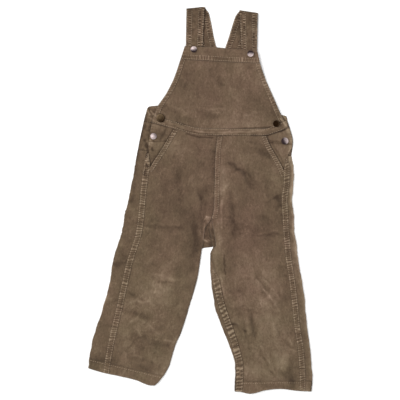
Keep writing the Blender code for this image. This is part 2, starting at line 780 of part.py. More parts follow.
def build():
    clear_scene()
    parts = collection("bib_overalls")
    panel = finish("corduroy", CORDUROY, roughness=0.9, metallic=0.0)
    worn = finish("corduroy_seams", CORDUROY_WORN, roughness=0.9, metallic=0.0)
    shade = finish("corduroy_back", CORDUROY_SHADE, roughness=0.92, metallic=0.0)
    bronze = finish("dark_bronze", BRONZE, roughness=0.42, metallic=1.0)
    silver = finish("antique_silver", ANTIQUE_SILVER, roughness=0.35, metallic=1.0)

    back_bodice(shade, parts)
    for leg in LEGS:
        leg_back(leg, shade, parts)
        leg_front(leg, panel, parts)
        leg_hem(leg, worn, parts)
        pocket_facing(leg, panel, parts)
        pocket_hem(leg, worn, parts)
        side_seam(leg, worn, parts)
    inseam(LEGS[1], worn, parts)
    centre_front_seam(LEGS[1], worn, parts)

    for name, plan in STRAPS.items():
        strap(name, plan, panel, parts)
    bib_front(panel, parts)
    bib_hem(worn, parts)
    for side in (-1, 1):
        armhole_hem(side, worn, parts)
    waist_band(worn, parts)

    for name, (x, y, diameter, carrier) in BUTTONS.items():
        button(name, x, y, diameter, carrier, bronze if "upper" in name else silver, parts)


build()
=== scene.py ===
"""Looks of a small child's bib overalls in fine brown corduroy, laid flat with the front up.

Lengths below are millimetres in the garment's own frame: +X across, +Y from the hems to the
straps, +Z up from the surface that it lies on. "left" is -X and "right" is +X, as seen in plan.
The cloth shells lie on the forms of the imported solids; folds, puckers, stitches and finishes
are added here. Meshes are made in metres.
"""
import math
import random

import bmesh
import bpy
import numpy as np
from mathutils import Matrix, Vector, noise


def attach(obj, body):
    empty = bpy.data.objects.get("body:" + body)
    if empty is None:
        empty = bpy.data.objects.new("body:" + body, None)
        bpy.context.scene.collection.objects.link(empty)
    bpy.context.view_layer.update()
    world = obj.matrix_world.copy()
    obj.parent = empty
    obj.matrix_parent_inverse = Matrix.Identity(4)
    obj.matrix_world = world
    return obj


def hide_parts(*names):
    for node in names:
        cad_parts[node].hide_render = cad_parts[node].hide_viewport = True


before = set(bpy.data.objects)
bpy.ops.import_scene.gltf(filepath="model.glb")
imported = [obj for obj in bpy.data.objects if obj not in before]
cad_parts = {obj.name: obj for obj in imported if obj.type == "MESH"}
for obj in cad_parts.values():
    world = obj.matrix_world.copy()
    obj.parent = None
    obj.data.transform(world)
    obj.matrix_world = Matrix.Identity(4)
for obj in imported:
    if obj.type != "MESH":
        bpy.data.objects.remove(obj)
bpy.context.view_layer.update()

MM = 0.001

# ---- cloth ----
WALL = 1.2            # one thickness of corduroy
DOUBLED = 1.8         # turned or doubled cloth, pressed
FELL_WALL = 0.3       # skin of a felled seam, which stands hollow over its turnings
FELL_FOOT = 0.35      # height of a felled seam's outer face at its two edges
FELL_CROWN = 0.75     # what it gains on the way to its middle
JOIN = 0.05           # room between two pieces that meet at a seam
FRONT_TOP = 4.4       # height of the front's outer face where it lies smooth
FACING_TOP = 2.9      # height of the pocket facing's outer face, below the front

# ---- trims ----
SIDE_SEAM_WIDTH = 11.0
INSEAM_WIDTH = 13.0
CENTRE_SEAM_WIDTH = 9.0
POCKET_HEM_WIDTH = 8.5
ARMHOLE_HEM_WIDTH = 9.0
WAIST_BAND_RISE = 11.0
WAIST_BAND_DROP = 1.5
STRAP_RADIUS = 1.3
HEM_DEPTH = 17.0
FACING_UNDER_FRONT = 9.0
FACING_UNDER_SIDE = 4.0
BIB_LENGTH = 110.0         # from its hem's foot to the waist seam
ARMHOLE_LENGTH = 128.0
WAIST_LENGTH = 242.0
PUCKER_PITCH = 5.2         # between two puckers of a sewn edge
PUCKER_MEAN = 0.4          # of puckers(), over a whole edge
STITCH_PITCH = 4.0
RUNG_TONE = 2.5            # how much paler a pucker's ridge is than the hollow beside it: rubbed pale on the ridge, painted shade in the hollow
STITCH_SIZE = (2.7, 0.72, 0.46)    # length, width and height of one stitch of top thread
STITCH_BITE = 0.45         # of its length, from its middle to where it meets the cloth
STITCH_LIFT = 0.05         # of a stitch's middle over its cloth
STITCH_SAMPLES = 700       # points along a row on which its stitches are laid

# ---- legs: one row for each station from the waist seam down ----
LEG_COLUMNS = ("y_out", "x_out", "x_side", "x_front", "y_in", "x_in", "x_back")
LEFT_LEG = (
    (136.5, -99, -84, -45, 112.5, 31, 31),
    (112, -104.5, -89, -58.5, 87.5, 27.5, 27.5),
    (87.5, -109.5, -91, -72.5, 62, 26, 26),
    (65, -113.5, -93, -86, 38.5, 25.5, 25.5),
    (47, -116, -95.5, -95.5, 21, 25, 25),
    (17.5, -122, -99, -99, -9.5, 24.5, 24.5),
    (-9, -127.5, -101.5, -101.5, -34, 20, 19),
    (-24.5, -132, -103, -103, -51, 9, 16.5),
    (-52.5, -136, -107, -107, -78, 5.5, 21.5),
    (-64.5, -139.5, -110, -110, -86, 3.5, 3.5),
    (-105, -152, -123.5, -123.5, -135, -4, -4),
    (-147, -159, -133, -133, -177, -16, -16),
    (-189, -170, -142.5, -142.5, -220.5, -29, -29),
    (-227.5, -183, -152, -152, -259, -44.5, -44.5),
    (-259, -191, -158.5, -158.5, -290.5, -54, -54),
    (-276.5, -194, -161.5, -161.5, -308, -63.5, -63.5),
    (-293.5, -196, -164.5, -164.5, -325, -79, -79),
)
RIGHT_LEG = (
    (128.5, 157, 155, 115, 112.5, 31, 31),
    (103, 163, 156.5, 123.5, 87.5, 27.5, 27.5),
    (77, 161, 153, 136, 62, 26, 26),
    (52.5, 164.5, 152, 147, 38.5, 25.5, 25.5),
    (35, 164.5, 151.5, 151.5, 21, 25, 25),
    (0, 161, 148, 148, -9.5, 24.5, 24.5),
    (-30, 165, 149.5, 149.5, -34, 20, 19),
    (-52.5, 165, 150.5, 150.5, -51, 23.5, 16.5),
    (-79, 169.5, 153, 153, -78, 27.5, 21.5),
    (-98, 171, 154.5, 154.5, -96, 20, 17.5),
    (-140, 178.5, 161, 161, -140, 30, 19.5),
    (-182, 184, 166, 166, -182, 39.5, 25),
    (-224, 188, 170.5, 170.5, -224, 54, 39),
    (-259, 193, 176, 176, -259, 65, 53),
    (-290.5, 195.5, 178.5, 178.5, -290.5, 71.5, 61.5),
    (-316, 197, 179.5, 179.5, -317, 71.5, 61),
    (-334, 195.5, 178.5, 178.5, -334.5, 70, 60.5),
)
NOTCH, POCKET_END, CROTCH, INSEAM_TOP = 2, 4, 6, 9
HEM_TOP, HEM_EDGE = 15, 16
LEFT_HEM_WAVE = ((0.0, 1.0), (0.2, 1.8), (0.45, 0.3), (0.7, -0.8), (0.9, 2.2), (1.0, 0.0))
RIGHT_HEM_WAVE = ((0.0, 1.5), (0.2, 0.0), (0.45, -3.5), (0.65, -1.0), (0.86, 5.0), (1.0, 1.0))

# waist seam, from the left side opening to the right one: x, y
WAIST_SEAM = (
    (-84.0, 136.5), (-44.0, 126.0), (0.0, 115.0), (56.0, 114.0), (112.0, 114.0),
    (135.0, 120.0), (155.0, 128.5),
)

# ---- bib and back bodice: y, x of the left edge, y, x of the right edge, by stations ----
BIB = (
    (269.5, -26.5, 262, 99.8),
    (246, -34.2, 239, 105.4),
    (217, -44.5, 212, 115.2),
    (189, -58.5, 185.5, 127.5),
    (163.5, -75, 157.5, 139.8),
    (149.5, -80, 142.5, 147),
    (136.5, -84, 128.5, 155),
)
BODICE = (
    (247, 5, 243, 66.5),
    (227.5, 0, 223, 72.5),
    (206.5, -12, 200.5, 86),
    (187, -35, 179.5, 107),
    (167, -68, 154, 131),
    (163, -90.5, 147, 151.5),
    (151.5, -95, 139, 153.5),
    (136.5, -99, 128.5, 156.5),
)
BIB_HEM_ROW = 1            # station of the top hem's foot
BIB_DROOP = 1.8            # how far the bib's free sides sink
BIB_DROOP_WIDTH = 20.0
STRAP_LIFT = 1.9           # how far a strap lifts the bib over it

# ---- straps: the two corners of each cross line: x, y of the left, x, y of the right ----
STRAPS = {
    "strap_left": {
        "bodice": (5.0, 247.5, 34.5, 245.6),
        "fold": (-24.0, 336.4, 8.0, 339.6),
        "end": (-26.0, 220.5, 2.5, 219.0),
        "bow": 4.6,
    },
    "strap_right": {
        "bodice": (36.5, 245.5, 66.5, 243.5),
        "fold": (69.5, 333.5, 101.8, 328.5),
        "end": (75.0, 217.0, 99.4, 215.0),
        "bow": -3.6,
    },
}
# share of the way up the back and share of the bow; share of the way down and height there
STRAP_BOW = ((0.0, 0.0), (0.4, 0.25), (0.7, 0.78), (0.88, 1.0), (1.0, 0.0))
STRAP_SETTLE = ((0.0, 3.5), (0.3, 3.15), (0.8, 3.05), (1.0, 2.5))
STRAP_PUCKER_PITCH = 4.1
STRAP_WIDTH = 28.0
STRAP_ROWS = (0.055, 0.31, 0.69, 0.945)    # its rows of stitches, in shares of its width

# ---- buttons: x, y, diameter, piece they lie on, finish, way to the side painted lighter as a reflection, tone ----
BUTTONS = {
    "strap_button_left": (-10.8, 263.2, 11.0, "bib", "antique_silver", (-0.3, 2.0), -0.1),
    "strap_button_right": (88.3, 255.7, 11.2, "bib", "antique_silver", (0.2, -2.0), -0.2),
    "hip_button_upper_left": (-68.8, 143.2, 15.2, "band", "dark_bronze", (-0.6, 0.9), 0.0),
    "hip_button_upper_right": (133.6, 133.4, 11.6, "band", "dark_bronze", (0.5, 0.1), -1.0),
    "hip_button_lower_left": (-81.3, 111.6, 11.2, "facing", "antique_silver", (-0.5, -0.4), 0.35),
    "hip_button_lower_right": (148.6, 103.2, 12.4, "facing", "antique_silver", (1.7, 0.7), -0.55),
}

# ---- broad folds: from x, y to x, y, spread, rise (troughs are negative) ----
MAIN_FOLDS = (
    (-88, -141, -50, -152, 10, 2.2), (-84, -124, -56, -133, 9, -1),
    (-104, -210, -82, -252, 11, 1.8), (-124, -232, -106, -268, 9, 1.2),
    (-88, -283, -76, -296, 9, 1.4), (-22, 40, -14, -10, 13, 1.6), (4, 6, 2, -26, 8, -1.1),
    (-70, -20, -54, -62, 14, 1.4), (50, 12, 48, -40, 9, 1.8), (78, 60, 98, 48, 9, -1),
    (96, -140, 130, -176, 11, 2), (88, -196, 98, -214, 11, -1.1), (122, -218, 142, -256, 11, 1.7),
    (128, -276, 132, -300, 10, 1.5), (100, -60, 116, -96, 13, 1.3), (4, 168, 32, 158, 9, 1.2),
    (48, 200, 70, 178, 14, 1.3), (-30, 178, -14, 160, 12, 0.9),
)
# creases: the same, and the lean: the share of the rise that the cloth sinks again beside the
# crease, on its right where the lean is positive and on its left where it is negative
CREASES = (
    # bib
    (-2, 163, 34, 157, 3.2, 0.9, 0.6), (26, 222, 33, 203, 4, -0.8, 0.4),
    (-50, 158, -22, 150, 4, 0.8, 0.7), (-62, 152, -40, 139, 3.6, -0.7, 0.5),
    (100, 190, 118, 168, 5, 0.6, 0.5), (62, 150, 98, 146, 4, 0.5, 0.5),
    # left leg, above the crotch
    (-8, 58, -26, 30, 4.5, 0.9, 0.8), (-38, 50, -34, 8, 5, -1, 0.6), (0, 14, 5, -18, 3.2, -1, 0.5),
    (4, -10, 2, -58, 3.6, 1.2, -0.8), (-16, -8, -12, -46, 4, -0.9, 0.6),
    (-104, -44, -34, -49, 4.2, -0.9, 0.9), (-60, 96, -38, 86, 4, 0.5, 0.5),
    (-88, 20, -66, -2, 5, 0.6, 0.6),
    # left leg, knee and below
    (-80, -141, -48, -148, 2.6, -1, -0.8), (-100, -120, -78, -98, 5, 0.6, 0.6),
    (-136, -178, -104, -169, 3.4, 1.1, -0.8), (-128, -196, -92, -206, 3.6, -1, 0.8),
    (-112, -226, -96, -246, 3.4, 1, 0.7), (-96, -238, -66, -228, 3.6, -0.8, 0.7),
    (-86, -244, -72, -266, 3.6, 1, 0.8), (-158, -262, -118, -274, 4, -0.9, 0.6),
    (-116, -286, -92, -294, 4, -0.8, 0.6), (-30, -120, -22, -160, 5, 0.7, 0.6),
    # right leg, above the crotch
    (52, 62, 78, 50, 3, -1.1, -0.9), (78, 50, 90, 22, 4.2, -1, 0.8), (36, 44, 33, 14, 4, 0.9, 0.6),
    (55, 16, 60, -44, 4, -1.1, -0.8), (108, 88, 122, 76, 3.6, -0.9, 0.8),
    (118, 46, 142, 28, 4, 0.8, 0.6), (128, 8, 144, -2, 3.6, -1.1, 0.8),
    (96, -28, 120, -34, 4.2, -0.8, 0.7), (30, -10, 36, -66, 4.2, 1, 0.5),
    (70, -52, 140, -62, 5, -0.8, 0.5),
    # right leg, knee and below
    (94, -138, 132, -178, 3.2, 0.9, 0.9), (46, -160, 66, -156, 3.6, -1, 0.7),
    (74, -192, 96, -196, 3.4, -0.9, 0.7), (56, -216, 66, -222, 2.6, -1.1, -0.9),
    (66, -222, 76, -240, 2.6, -1.1, -0.9), (122, -218, 142, -256, 3.2, 0.9, 0.9),
    (92, -204, 98, -238, 3.6, -1, 0.8), (84, -254, 108, -280, 3.6, 0.7, 0.8),
    (130, -262, 136, -306, 3.6, 0.8, 0.8),
)
# folds of the side that lies down: from x, y to x, y, spread, rise
BACK_FOLDS = (
    (-98, 60, -40, 72, 4.5, 0.9), (-20, 84, 22, 62, 4, 0.8), (48, 70, 96, 84, 4.5, 0.9),
    (100, 46, 142, 52, 4, 0.7), (-108, 6, -66, -10, 5, 1), (-60, 24, -8, 2, 4, 0.8),
    (60, 12, 118, -8, 5, 1), (70, -40, 132, -30, 4, 0.8), (-112, -96, -58, -108, 4, 0.8),
    (-124, -132, -56, -122, 5, 1.1), (-96, -148, -40, -164, 4, 0.9),
    (-140, -206, -92, -194, 4.5, 0.9), (-128, -246, -76, -258, 4.5, 0.8),
    (-112, -286, -84, -272, 4, 0.7), (58, -116, 118, -128, 4.5, 0.9), (64, -152, 132, -142, 5, 1.1),
    (78, -186, 150, -196, 4, 0.8), (96, -232, 146, -222, 4.5, 0.9), (92, -272, 160, -284, 4.5, 0.8),
    (-60, 172, -8, 160, 4, 0.8), (22, 178, 78, 166, 4.5, 0.9), (8, 212, 48, 222, 4, 0.7),
)
FOLD_WANDER = 5.0          # how far the folds' lines stray sideways
FOLD_WANDER_LENGTH = 34.0
FOLD_LIMITS = (-1.35, 3.4)     # how far folds may sink and rise in all
BACK_FOLD_LIMIT = 1.4
CRUMPLE = 0.62             # height of the fine creasing
CREASE_PAINTED_LIGHT = 0.26         # painted light and shade: how much paler a crease is for each millimetre that it stands up, and darker where it sinks
MARK_RISE = 0.40           # height of a sharp mark of tone 1

# ---- worn and soiled places, and places of painted light and shade: from x, y to x, y, spread, tone (1 light, -1 dark) ----
WEAR_AND_PAINTED_LIGHT_DEPTH = 1.05          # what the tones of the table are multiplied by
# besides wear and soil this holds painted shade on the inner thighs and along the left outline, and
# painted light along the right outline where its fold turns away from the light
WEAR_AND_PAINTED_LIGHT = (
    # bib, wings and waist
    (30, 230, 34, 214, 6, -0.4), (32, 246, 36, 236, 7, 0.25), (76, 246, 104, 238, 10, 0.5),
    (90, 228, 94, 222, 8, -0.3), (8, 146, 34, 148, 8, -0.55), (-48, 143, -10, 138, 6, -0.22),
    (100, 252, 110, 226, 5, 0.5), (127, 176, 138, 158, 5, -1.3), (150, 150, 153, 140, 4, 0.8),
    (-55, 166, -28, 158, 7, -0.32), (-24, 188, -2, 186, 8, -0.2), (124, 160, 134, 146, 7, -0.5),
    (150, 148, 152, 136, 5, 0.9), (-24, 215, 6, 196, 20, -0.3), (-30, 202, -28, 196, 7, -0.45),
    (34, 208, 38, 204, 5, -0.6), (72, 230, 84, 216, 17, 0.14), (-20, 150, 112, 144, 22, 0.1),
    (48, 138, 104, 132, 11, 0.4), (104, 176, 124, 156, 14, -0.28), (100, 214, 112, 200, 8, 0.25),
    (142, 149, 149, 145, 3.5, 1.2), (151, 128, 156, 121, 3.5, 0.9), (66, 117, 84, 115, 5, 0.4),
    (17, 258, 70, 252, 6, -0.26), (70, 252, 88, 254, 5, -0.2), (-97, 150, -95, 143, 3.5, -0.4),
    (-89, 134, -87, 128, 4, 0.4),
    # left leg
    (-164, -172, -171, -192, 5, 0.8), (-112, 84, -122, 0, 5, -0.8), (-56, 100, -44, 90, 12, 0.34),
    (-36, 40, -34, -12, 14, -0.4), (-60, 56, -58, -20, 18, -0.22), (-12, 40, -8, 28, 9, 0.18),
    (2, 16, 8, -6, 8, -0.45), (-8, -34, -16, -98, 14, -0.5), (-60, 40, -66, -60, 32, -0.2),
    (-84, -160, -66, -166, 30, 0.2), (24, 84, 22, 44, 5.5, -0.48), (10, 84, 10, 60, 9, -0.18),
    (-4, 104, 30, 104, 8, -0.36), (14, 25, 12, 16, 7, -0.68), (-4, 66, -10, 40, 7, -0.36),
    (4, -22, 5, -32, 5, -0.5), (-140, -148, -143, -170, 6, -0.36), (-136, -181, -132, -184, 6, 0.7),
    (-25, -22, -25, -42, 8, -0.6), (-4, -50, -8, -88, 6, -0.6), (-58, -62, -36, -62, 7, -0.34),
    (-125, -72, -85, -76, 10, -0.24), (-48, -128, -12, -120, 9, -0.48),
    (-160, -204, -132, -206, 9, 0.28), (-34, -208, -24, -216, 8, -0.32),
    (-118, -240, -92, -268, 7, -0.32), (-40, -244, -60, -290, 6, 0.6),
    (-76, -298, -62, -304, 8, 0.6), (-198, -292, -176, -298, 6, -0.62),
    (-154, -244, -150, -264, 7, 0.34), (-86, 136, -78, 130, 5, 0.36), (-78, 121, -64, 116, 5, -0.5),
    (-4, 94, -4, 84, 6, -0.4), (-120, 28, -122, 16, 4, 0.6), (-154, -116, -170, -190, 5, 0.5),
    (-104, -46, -36, -49, 4, -0.25), (-76, -150, -66, -156, 15, 0.6),
    (-60, -120, -56, -132, 12, 0.42), (-122, -100, -134, -180, 9, -0.34),
    (-148, -112, -134, -100, 9, -0.5), (-94, -180, -54, -176, 14, 0.14),
    (-112, -200, -90, -204, 5, -0.34), (-92, -240, -72, -246, 8, -0.52),
    (-126, -236, -116, -262, 10, 0.2), (-196, -280, -150, -282, 9, -0.8),
    (-106, -294, -72, -296, 8, -0.45), (-3, -112, -5, -126, 4, 0.5), (5, 62, 5, 52, 5, -0.34),
    (-146, -78, -144, -92, 5, 0.34), (-116, -168, -112, -178, 6, -0.3),
    (-78, -203, -72, -208, 6, -0.3), (-130, -98, -126, -110, 6, -0.35),
    # right leg
    (92, 30, 102, -70, 34, -0.24), (112, -150, 128, -290, 34, 0.24),
    (104, -230, 120, -300, 30, 0.14), (162, 122, 163, 4, 6, 1.3), (168, -86, 171, -100, 5, 0.9),
    (164, -18, 173, -110, 6, 0.75), (180, -120, 190, -236, 7, 0.15), (32, -140, 34, -152, 4, 0.5),
    (22, -160, 27, -178, 4, -0.6), (146, -306, 153, -312, 6, -0.6), (151, -276, 153, -288, 5, 0.5),
    (30, 96, 30, 86, 6, -0.4), (148, -8, 154, -14, 5, -0.7), (112, 90, 124, 84, 4, -0.5),
    (82, -306, 96, -308, 8, 0.5), (182, -326, 188, -334, 6, 0.5), (104, -138, 112, -160, 9, -0.38),
    (68, -106, 72, -112, 8, -0.28), (40, -138, 48, -162, 6, 0.52), (60, -312, 66, -336, 7, -1.2),
    (108, -321, 158, -331, 7, -0.46), (52, -196, 68, -226, 8, 0.22), (110, 108, 114, 104, 6, 0.3),
    (26, -66, 28, -126, 9, 0.5), (44, 50, 42, 20, 8, 0.5), (32, -50, 32, -66, 9, 0.2),
    (45, -8, 38, -36, 6, -0.25), (37, 12, 37, -2, 5, 0.35), (161, -86, 163, -102, 5, 0.36),
    (172, -112, 175, -128, 4, -0.36), (182, -176, 184, -192, 4, 0.34),
    (162, -14, 164, -32, 4, -0.3), (63, -136, 67, -148, 6, 0.28), (82, -176, 86, -186, 6, 0.28),
    (50, -212, 53, -217, 4, 0.34), (54, 62, 76, 46, 5, -0.62), (82, 44, 88, 26, 8, -0.36),
    (98, 92, 120, 78, 6, -0.62), (128, 54, 138, 26, 9, 0.24), (136, 4, 144, -8, 7, -0.85),
    (56, -10, 60, -60, 8, -0.55), (108, -34, 118, -38, 8, -0.5), (70, -50, 116, -58, 12, -0.38),
    (56, -78, 50, -120, 9, -0.34), (76, -110, 106, -128, 20, 0.42),
    (112, -178, 116, -184, 10, 0.34), (60, -162, 70, -158, 6, -0.5), (82, -194, 98, -236, 7, -0.5),
    (76, -222, 92, -242, 7, -0.36), (148, -120, 150, -170, 9, -0.36),
    (159, -292, 161, -318, 8, -0.95), (92, -296, 108, -306, 10, 0.2),
    (138, -280, 136, -268, 8, 0.34),
)

# ---- sharp marks at edges, openings and sewn corners: from x, y to x, y, spread, tone ----
# dark marks are painted shade, with dirt, along edges, openings and the left outline; light ones
# are pale stitching with painted highlight on raised seams; they also stand up and sink a little as
# relief
MARKS = (
    # left hip
    (-50, 137, -26, 131.2, 1.2, -1.3), (-41, 126.4, -28.7, 122, 1.1, -1.2),
    (-28.7, 122, -15.9, 118.6, 1.1, -1.2), (-15.9, 118.6, 22, 113.7, 1.1, -1),
    (-24, 115.8, 0, 110, 1.3, -1.3), (0, 110, 22, 109.6, 1.3, -1.3),
    (-92, 163.5, -74, 162, 2.4, 0.7), (-98, 150, -95, 140, 2.4, -1), (-93, 158, -88, 150, 1.6, 1.8),
    (-87, 157, -82, 150, 1.5, 1.9), (-89.5, 159, -84.5, 151, 1.2, -1.6),
    (-90, 146, -85, 141, 1.6, 1.2), (-58, 126, -70, 106, 2.8, -0.9),
    (-84, 136, -60, 129, 1.3, -1.2), (-82, 139.5, -62, 133, 1.2, 0.7),
    (-80, 151, -76, 146, 1.4, 1.4), (-100, 130, -105, 112, 3.6, -2.4),
    (-105, 112, -109, 90, 3.6, -1), (-97, 106, -91, 84, 1.6, -2), (-92, 103, -86, 93, 1.7, 1.6),
    (-87.5, 95, -82, 87.5, 1.4, -1.8), (-87.5, 103.5, -84, 99.5, 2, 1.4),
    (-97, 92, -94, 86, 1.5, 1.3), (-92, 82, -94, 74, 1.4, -1.8), (-90, 76, -93, 66, 1.4, 1.3),
    (-94, 64, -91, 56, 1.4, -1.8), (-95, 52, -98, 44, 1.4, -1.6), (-45, 122, -73, 77, 1.2, -1),
    # waist band and right hip
    (156.8, 85, 157.2, 70, 2.2, 1.5), (137, 148, 142, 128, 2.5, -0.9),
    (78, 125.8, 130, 127.2, 1.2, -1.4), (50, 122.8, 78, 125.4, 1.2, -0.7),
    (-10, 121, 20, 117, 1.2, 0.7), (20, 117, 52, 119, 1.2, 0.5), (52, 119, 88, 119.5, 1.4, 0.5),
    (92, 120, 112, 122.5, 1.5, 0.7), (34, 113, 64, 114, 1.2, -1), (64, 114, 90, 114, 1.2, -0.6),
    (90, 113.5, 118, 113, 1.4, -1.3), (118, 113.6, 141, 120.5, 1.2, -1.2),
    (141, 120.5, 154, 127.4, 1.6, -1.7), (141, 142, 152, 127.5, 2.2, 1.3),
    (141, 139, 146, 132, 1.2, -0.8), (126, 104, 160, 98, 1.3, -1.2),
    (130, 118, 148, 122, 1.3, -0.9), (124, 104, 146, 66, 1.3, -1),
    # fork and inseam
    (6.6, -36, 12, -28.5, 1.3, 1.3), (12, -28.5, 22, -31, 1.3, 1.2), (6, -69, 11, -72.5, 1.2, 1.6),
    (11, -72.5, 21, -69, 1.2, 1.5), (7, -76, 12, -79, 1, 1), (8, -40, 6.5, -76, 1.3, 1.3),
    (38, 0, 38, -48, 1.6, 0.8), (42, -96, 44, -130, 1.2, -1.2), (44, -134, 48, -160, 1.2, -0.4),
    (36, -132, 44, -172, 1.4, 0.8), (14, -32, 17, -44, 4, 0.8), (17, -92, 18, -104, 3, -0.8),
)

# ---- thin lines of creases, softer than the marks: from x, y to x, y, spread, tone ----
# light lines are painted highlight and dark lines painted shade of the creases; they also stand up
# and sink a little as relief
LINE_SHARE = 0.62          # what the tones of the table are multiplied by
CREASE_SHADING_LINES = (
    # bib
    (8, 158.5, 44, 159.5, 1.5, 0.5), (2, 164, 38, 164, 1.4, -0.7), (24, 152.5, 40, 153.5, 1.3, 0.8),
    (-60, 171, -27, 155, 1.7, 0.7), (-60, 165, -36, 146, 1.8, -0.7), (-20, 190, 6, 186, 2.2, 0.4),
    (54, 194, 64, 176, 2.6, 0.6), (34, 214, 38, 200, 2.2, -0.9), (22, 234, 18, 218, 2, -0.6),
    (60, 150, 100, 147, 1.6, 0.5),
    # left leg, above the crotch
    (2, 6, 2, -38, 1.3, -1.3), (-30, 36, -15, 55, 1.6, 0.8), (-26, 30, -18, 12, 1.6, -0.7),
    (-84, -45, -38, -49.5, 1.5, -0.7), (-84, -41, -38, -45, 1.6, 0.5),
    (-62, 26, -60, -6, 1.8, -0.5), (-46, 84, -44, 60, 1.8, -0.5), (-12, -52, -10, -84, 2, -0.9),
    # left leg, knee and below
    (-81, -134, -67, -143, 1.4, -1.4), (-67, -143, -45, -147, 1.4, -1.4),
    (-78, -129, -50, -139, 2.4, 0.7), (-131, -186, -117, -176.5, 1.5, 0.9),
    (-117, -176.5, -89, -176.5, 1.5, 1.1), (-89, -176.5, -82, -182, 1.6, 1),
    (-123, -164, -101, -173.5, 1.6, -1.2), (-118.5, -211, -106, -200, 1.5, 1.2),
    (-117, -198, -89, -206, 2.2, -1), (-98, -212.5, -70, -234, 2.6, 1),
    (-86, -244, -45, -248, 1.7, 1.4), (-86, -251, -58, -256, 3.6, -1.1),
    (-117, -236, -101, -240.5, 2, -1.2), (-110.5, -244, -126, -259, 1.6, -1.1),
    (-104, -244, -116, -262, 1.7, 0.7), (-78, -276.5, -59, -276.5, 1.7, 1.3),
    (-96, -280, -80, -284, 2.2, -1), (-130, -270, -104, -276, 1.6, 0.9),
    (-73, -286, -60, -300, 4, 0.9), (-150, -214, -158, -236, 1.8, 0.7),
    (-146, -112, -133, -110, 2, -1),
    # right leg, above the crotch
    (84, 103, 105, 96.5, 1.5, -1), (84, 99, 102, 93, 1.7, 0.6), (50, 64, 60, 56, 1.4, -1.4),
    (60, 56, 72, 52, 1.4, -1.1), (78, 54, 84, 40, 1.5, 0.8), (82, 52, 88, 38, 1.5, -0.9),
    (117, 32, 119, 8, 1.6, -1), (113, 30, 115, 8, 1.8, 0.6), (116, -5, 143, 9, 1.5, -1.3),
    (136, 2, 142, -36, 2.4, -1.1), (58, 44, 40, 14, 2.2, 0.9), (68, -55, 104, -58, 1.4, 0.9),
    (104, -58, 140, -54, 1.4, 0.8), (72, -60, 138, -61, 1.4, -1), (54, -30, 58, -66, 1.7, -1),
    # right leg, knee and below
    (92, -132, 112, -156, 1.3, 0.9), (112, -156, 140, -196, 1.3, 1),
    (96, -131, 117, -157, 1.4, -0.8), (112, -140, 140, -172, 1.4, 1),
    (115, -138, 143, -170, 1.4, -0.8), (104, -166, 122, -190, 8, 0.5),
    (56, -188, 71, -196, 3.2, -1), (91, -192, 94, -232, 2.6, -1.1), (82, -200, 82, -234, 2.6, 0.9),
    (56, -219.5, 68, -221, 1.4, -1.3), (68, -221, 78, -231, 1.4, -1.2),
    (78, -231, 88, -258, 1.4, -1.1), (74, -238, 82, -262, 1.6, 0.8),
    (140, -219, 162, -251, 1.4, 1.2), (134, -222, 156, -254, 1.4, -0.7),
    (118, -210, 148, -240, 1.6, 0.7), (104, -263, 128, -307, 1.5, -1.2),
    (108, -261, 132, -303, 1.6, 0.7), (144, -270, 148, -292, 4, 0.6), (84, -296, 104, -300, 4, 0.6),
)

# ---- colours ----
# nap colours by tone, from dark to pale: soil and painted shade reach the dark end, worn places and
# painted highlights the pale end
NAP_DARK = (0.040, 0.023, 0.0125)
NAP_LOW = (0.076, 0.048, 0.028)
NAP_MIDDLE = (0.107, 0.0695, 0.0418)
NAP_HIGH = (0.152, 0.104, 0.067)
NAP_WORN_AND_LIT = (0.240, 0.174, 0.118)
OLIVE_TINT = (0.945, 1.015, 0.93)
ROSY_TINT = (1.075, 0.985, 1.05)
THREAD = (0.400, 0.300, 0.205)
# button metals: the deep colours serve tarnished hollows and the painted shaded side, the rubbed
# colours abraded proud parts and the painted lit side
BRONZE_DEEP_AND_SHADED = (0.014, 0.0068, 0.0030)
BRONZE_RUBBED_AND_LIT = (0.105, 0.072, 0.041)
SILVER_DEEP_AND_SHADED = (0.040, 0.027, 0.029)
SILVER_RUBBED_AND_LIT = (0.540, 0.450, 0.440)
FLOOR = (0.985, 0.985, 0.985)


# ---- curves over arrays ----
def through(stations, values, at):
    """Values at places, on a smooth curve through the values that never overshoots them."""
    stations = np.asarray(stations, float)
    values = np.asarray(values, float)
    at = np.clip(at, stations[0], stations[-1])
    rise = np.diff(values) / np.diff(stations)
    slope = np.concatenate((rise[:1], np.zeros(len(values) - 2), rise[-1:]))
    for i in range(1, len(values) - 1):
        if rise[i - 1] * rise[i] > 0.0:
            slope[i] = 2.0 * rise[i - 1] * rise[i] / (rise[i - 1] + rise[i])
    k = np.clip(np.searchsorted(stations, at, side="right") - 1, 0, len(stations) - 2)
    width = stations[k + 1] - stations[k]
    f = (at - stations[k]) / width
    g = 1.0 - f
    return (
        values[k] * (1.0 + 2.0 * f) * g * g
        + values[k + 1] * (1.0 + 2.0 * g) * f * f
        + slope[k] * width * f * g * g
        - slope[k + 1] * width * g * f * f
    )


def pairs(table, at):
    """Values at places, from a table of (place, value) rows."""
    return through([row[0] for row in table], [row[1] for row in table], at)


def ease(low, high, value):
    """0 below low, 1 above high, and smooth between; low may be the greater one."""
    f = np.clip((value - low) / (high - low), 0.0, 1.0)
    return f * f * (3.0 - 2.0 * f)


def part_of(value, start, length):
    """Share of a stretch that lies behind value, 0 to 1."""
    return np.clip((value - start) / length, 0.0, 1.0)


def mix(a, b, share):
    """a where the share is 0, b where it is 1."""
    return a + (b - a) * share


def bell(value, middle, spread):
    """1 in the middle, falling to 0 beyond its spread."""
    return np.exp(-((value - middle) / spread) ** 2)


def near(distance, reach):
    """1 at a place, falling off to both sides of it."""
    return np.exp(-np.abs(distance) / reach)


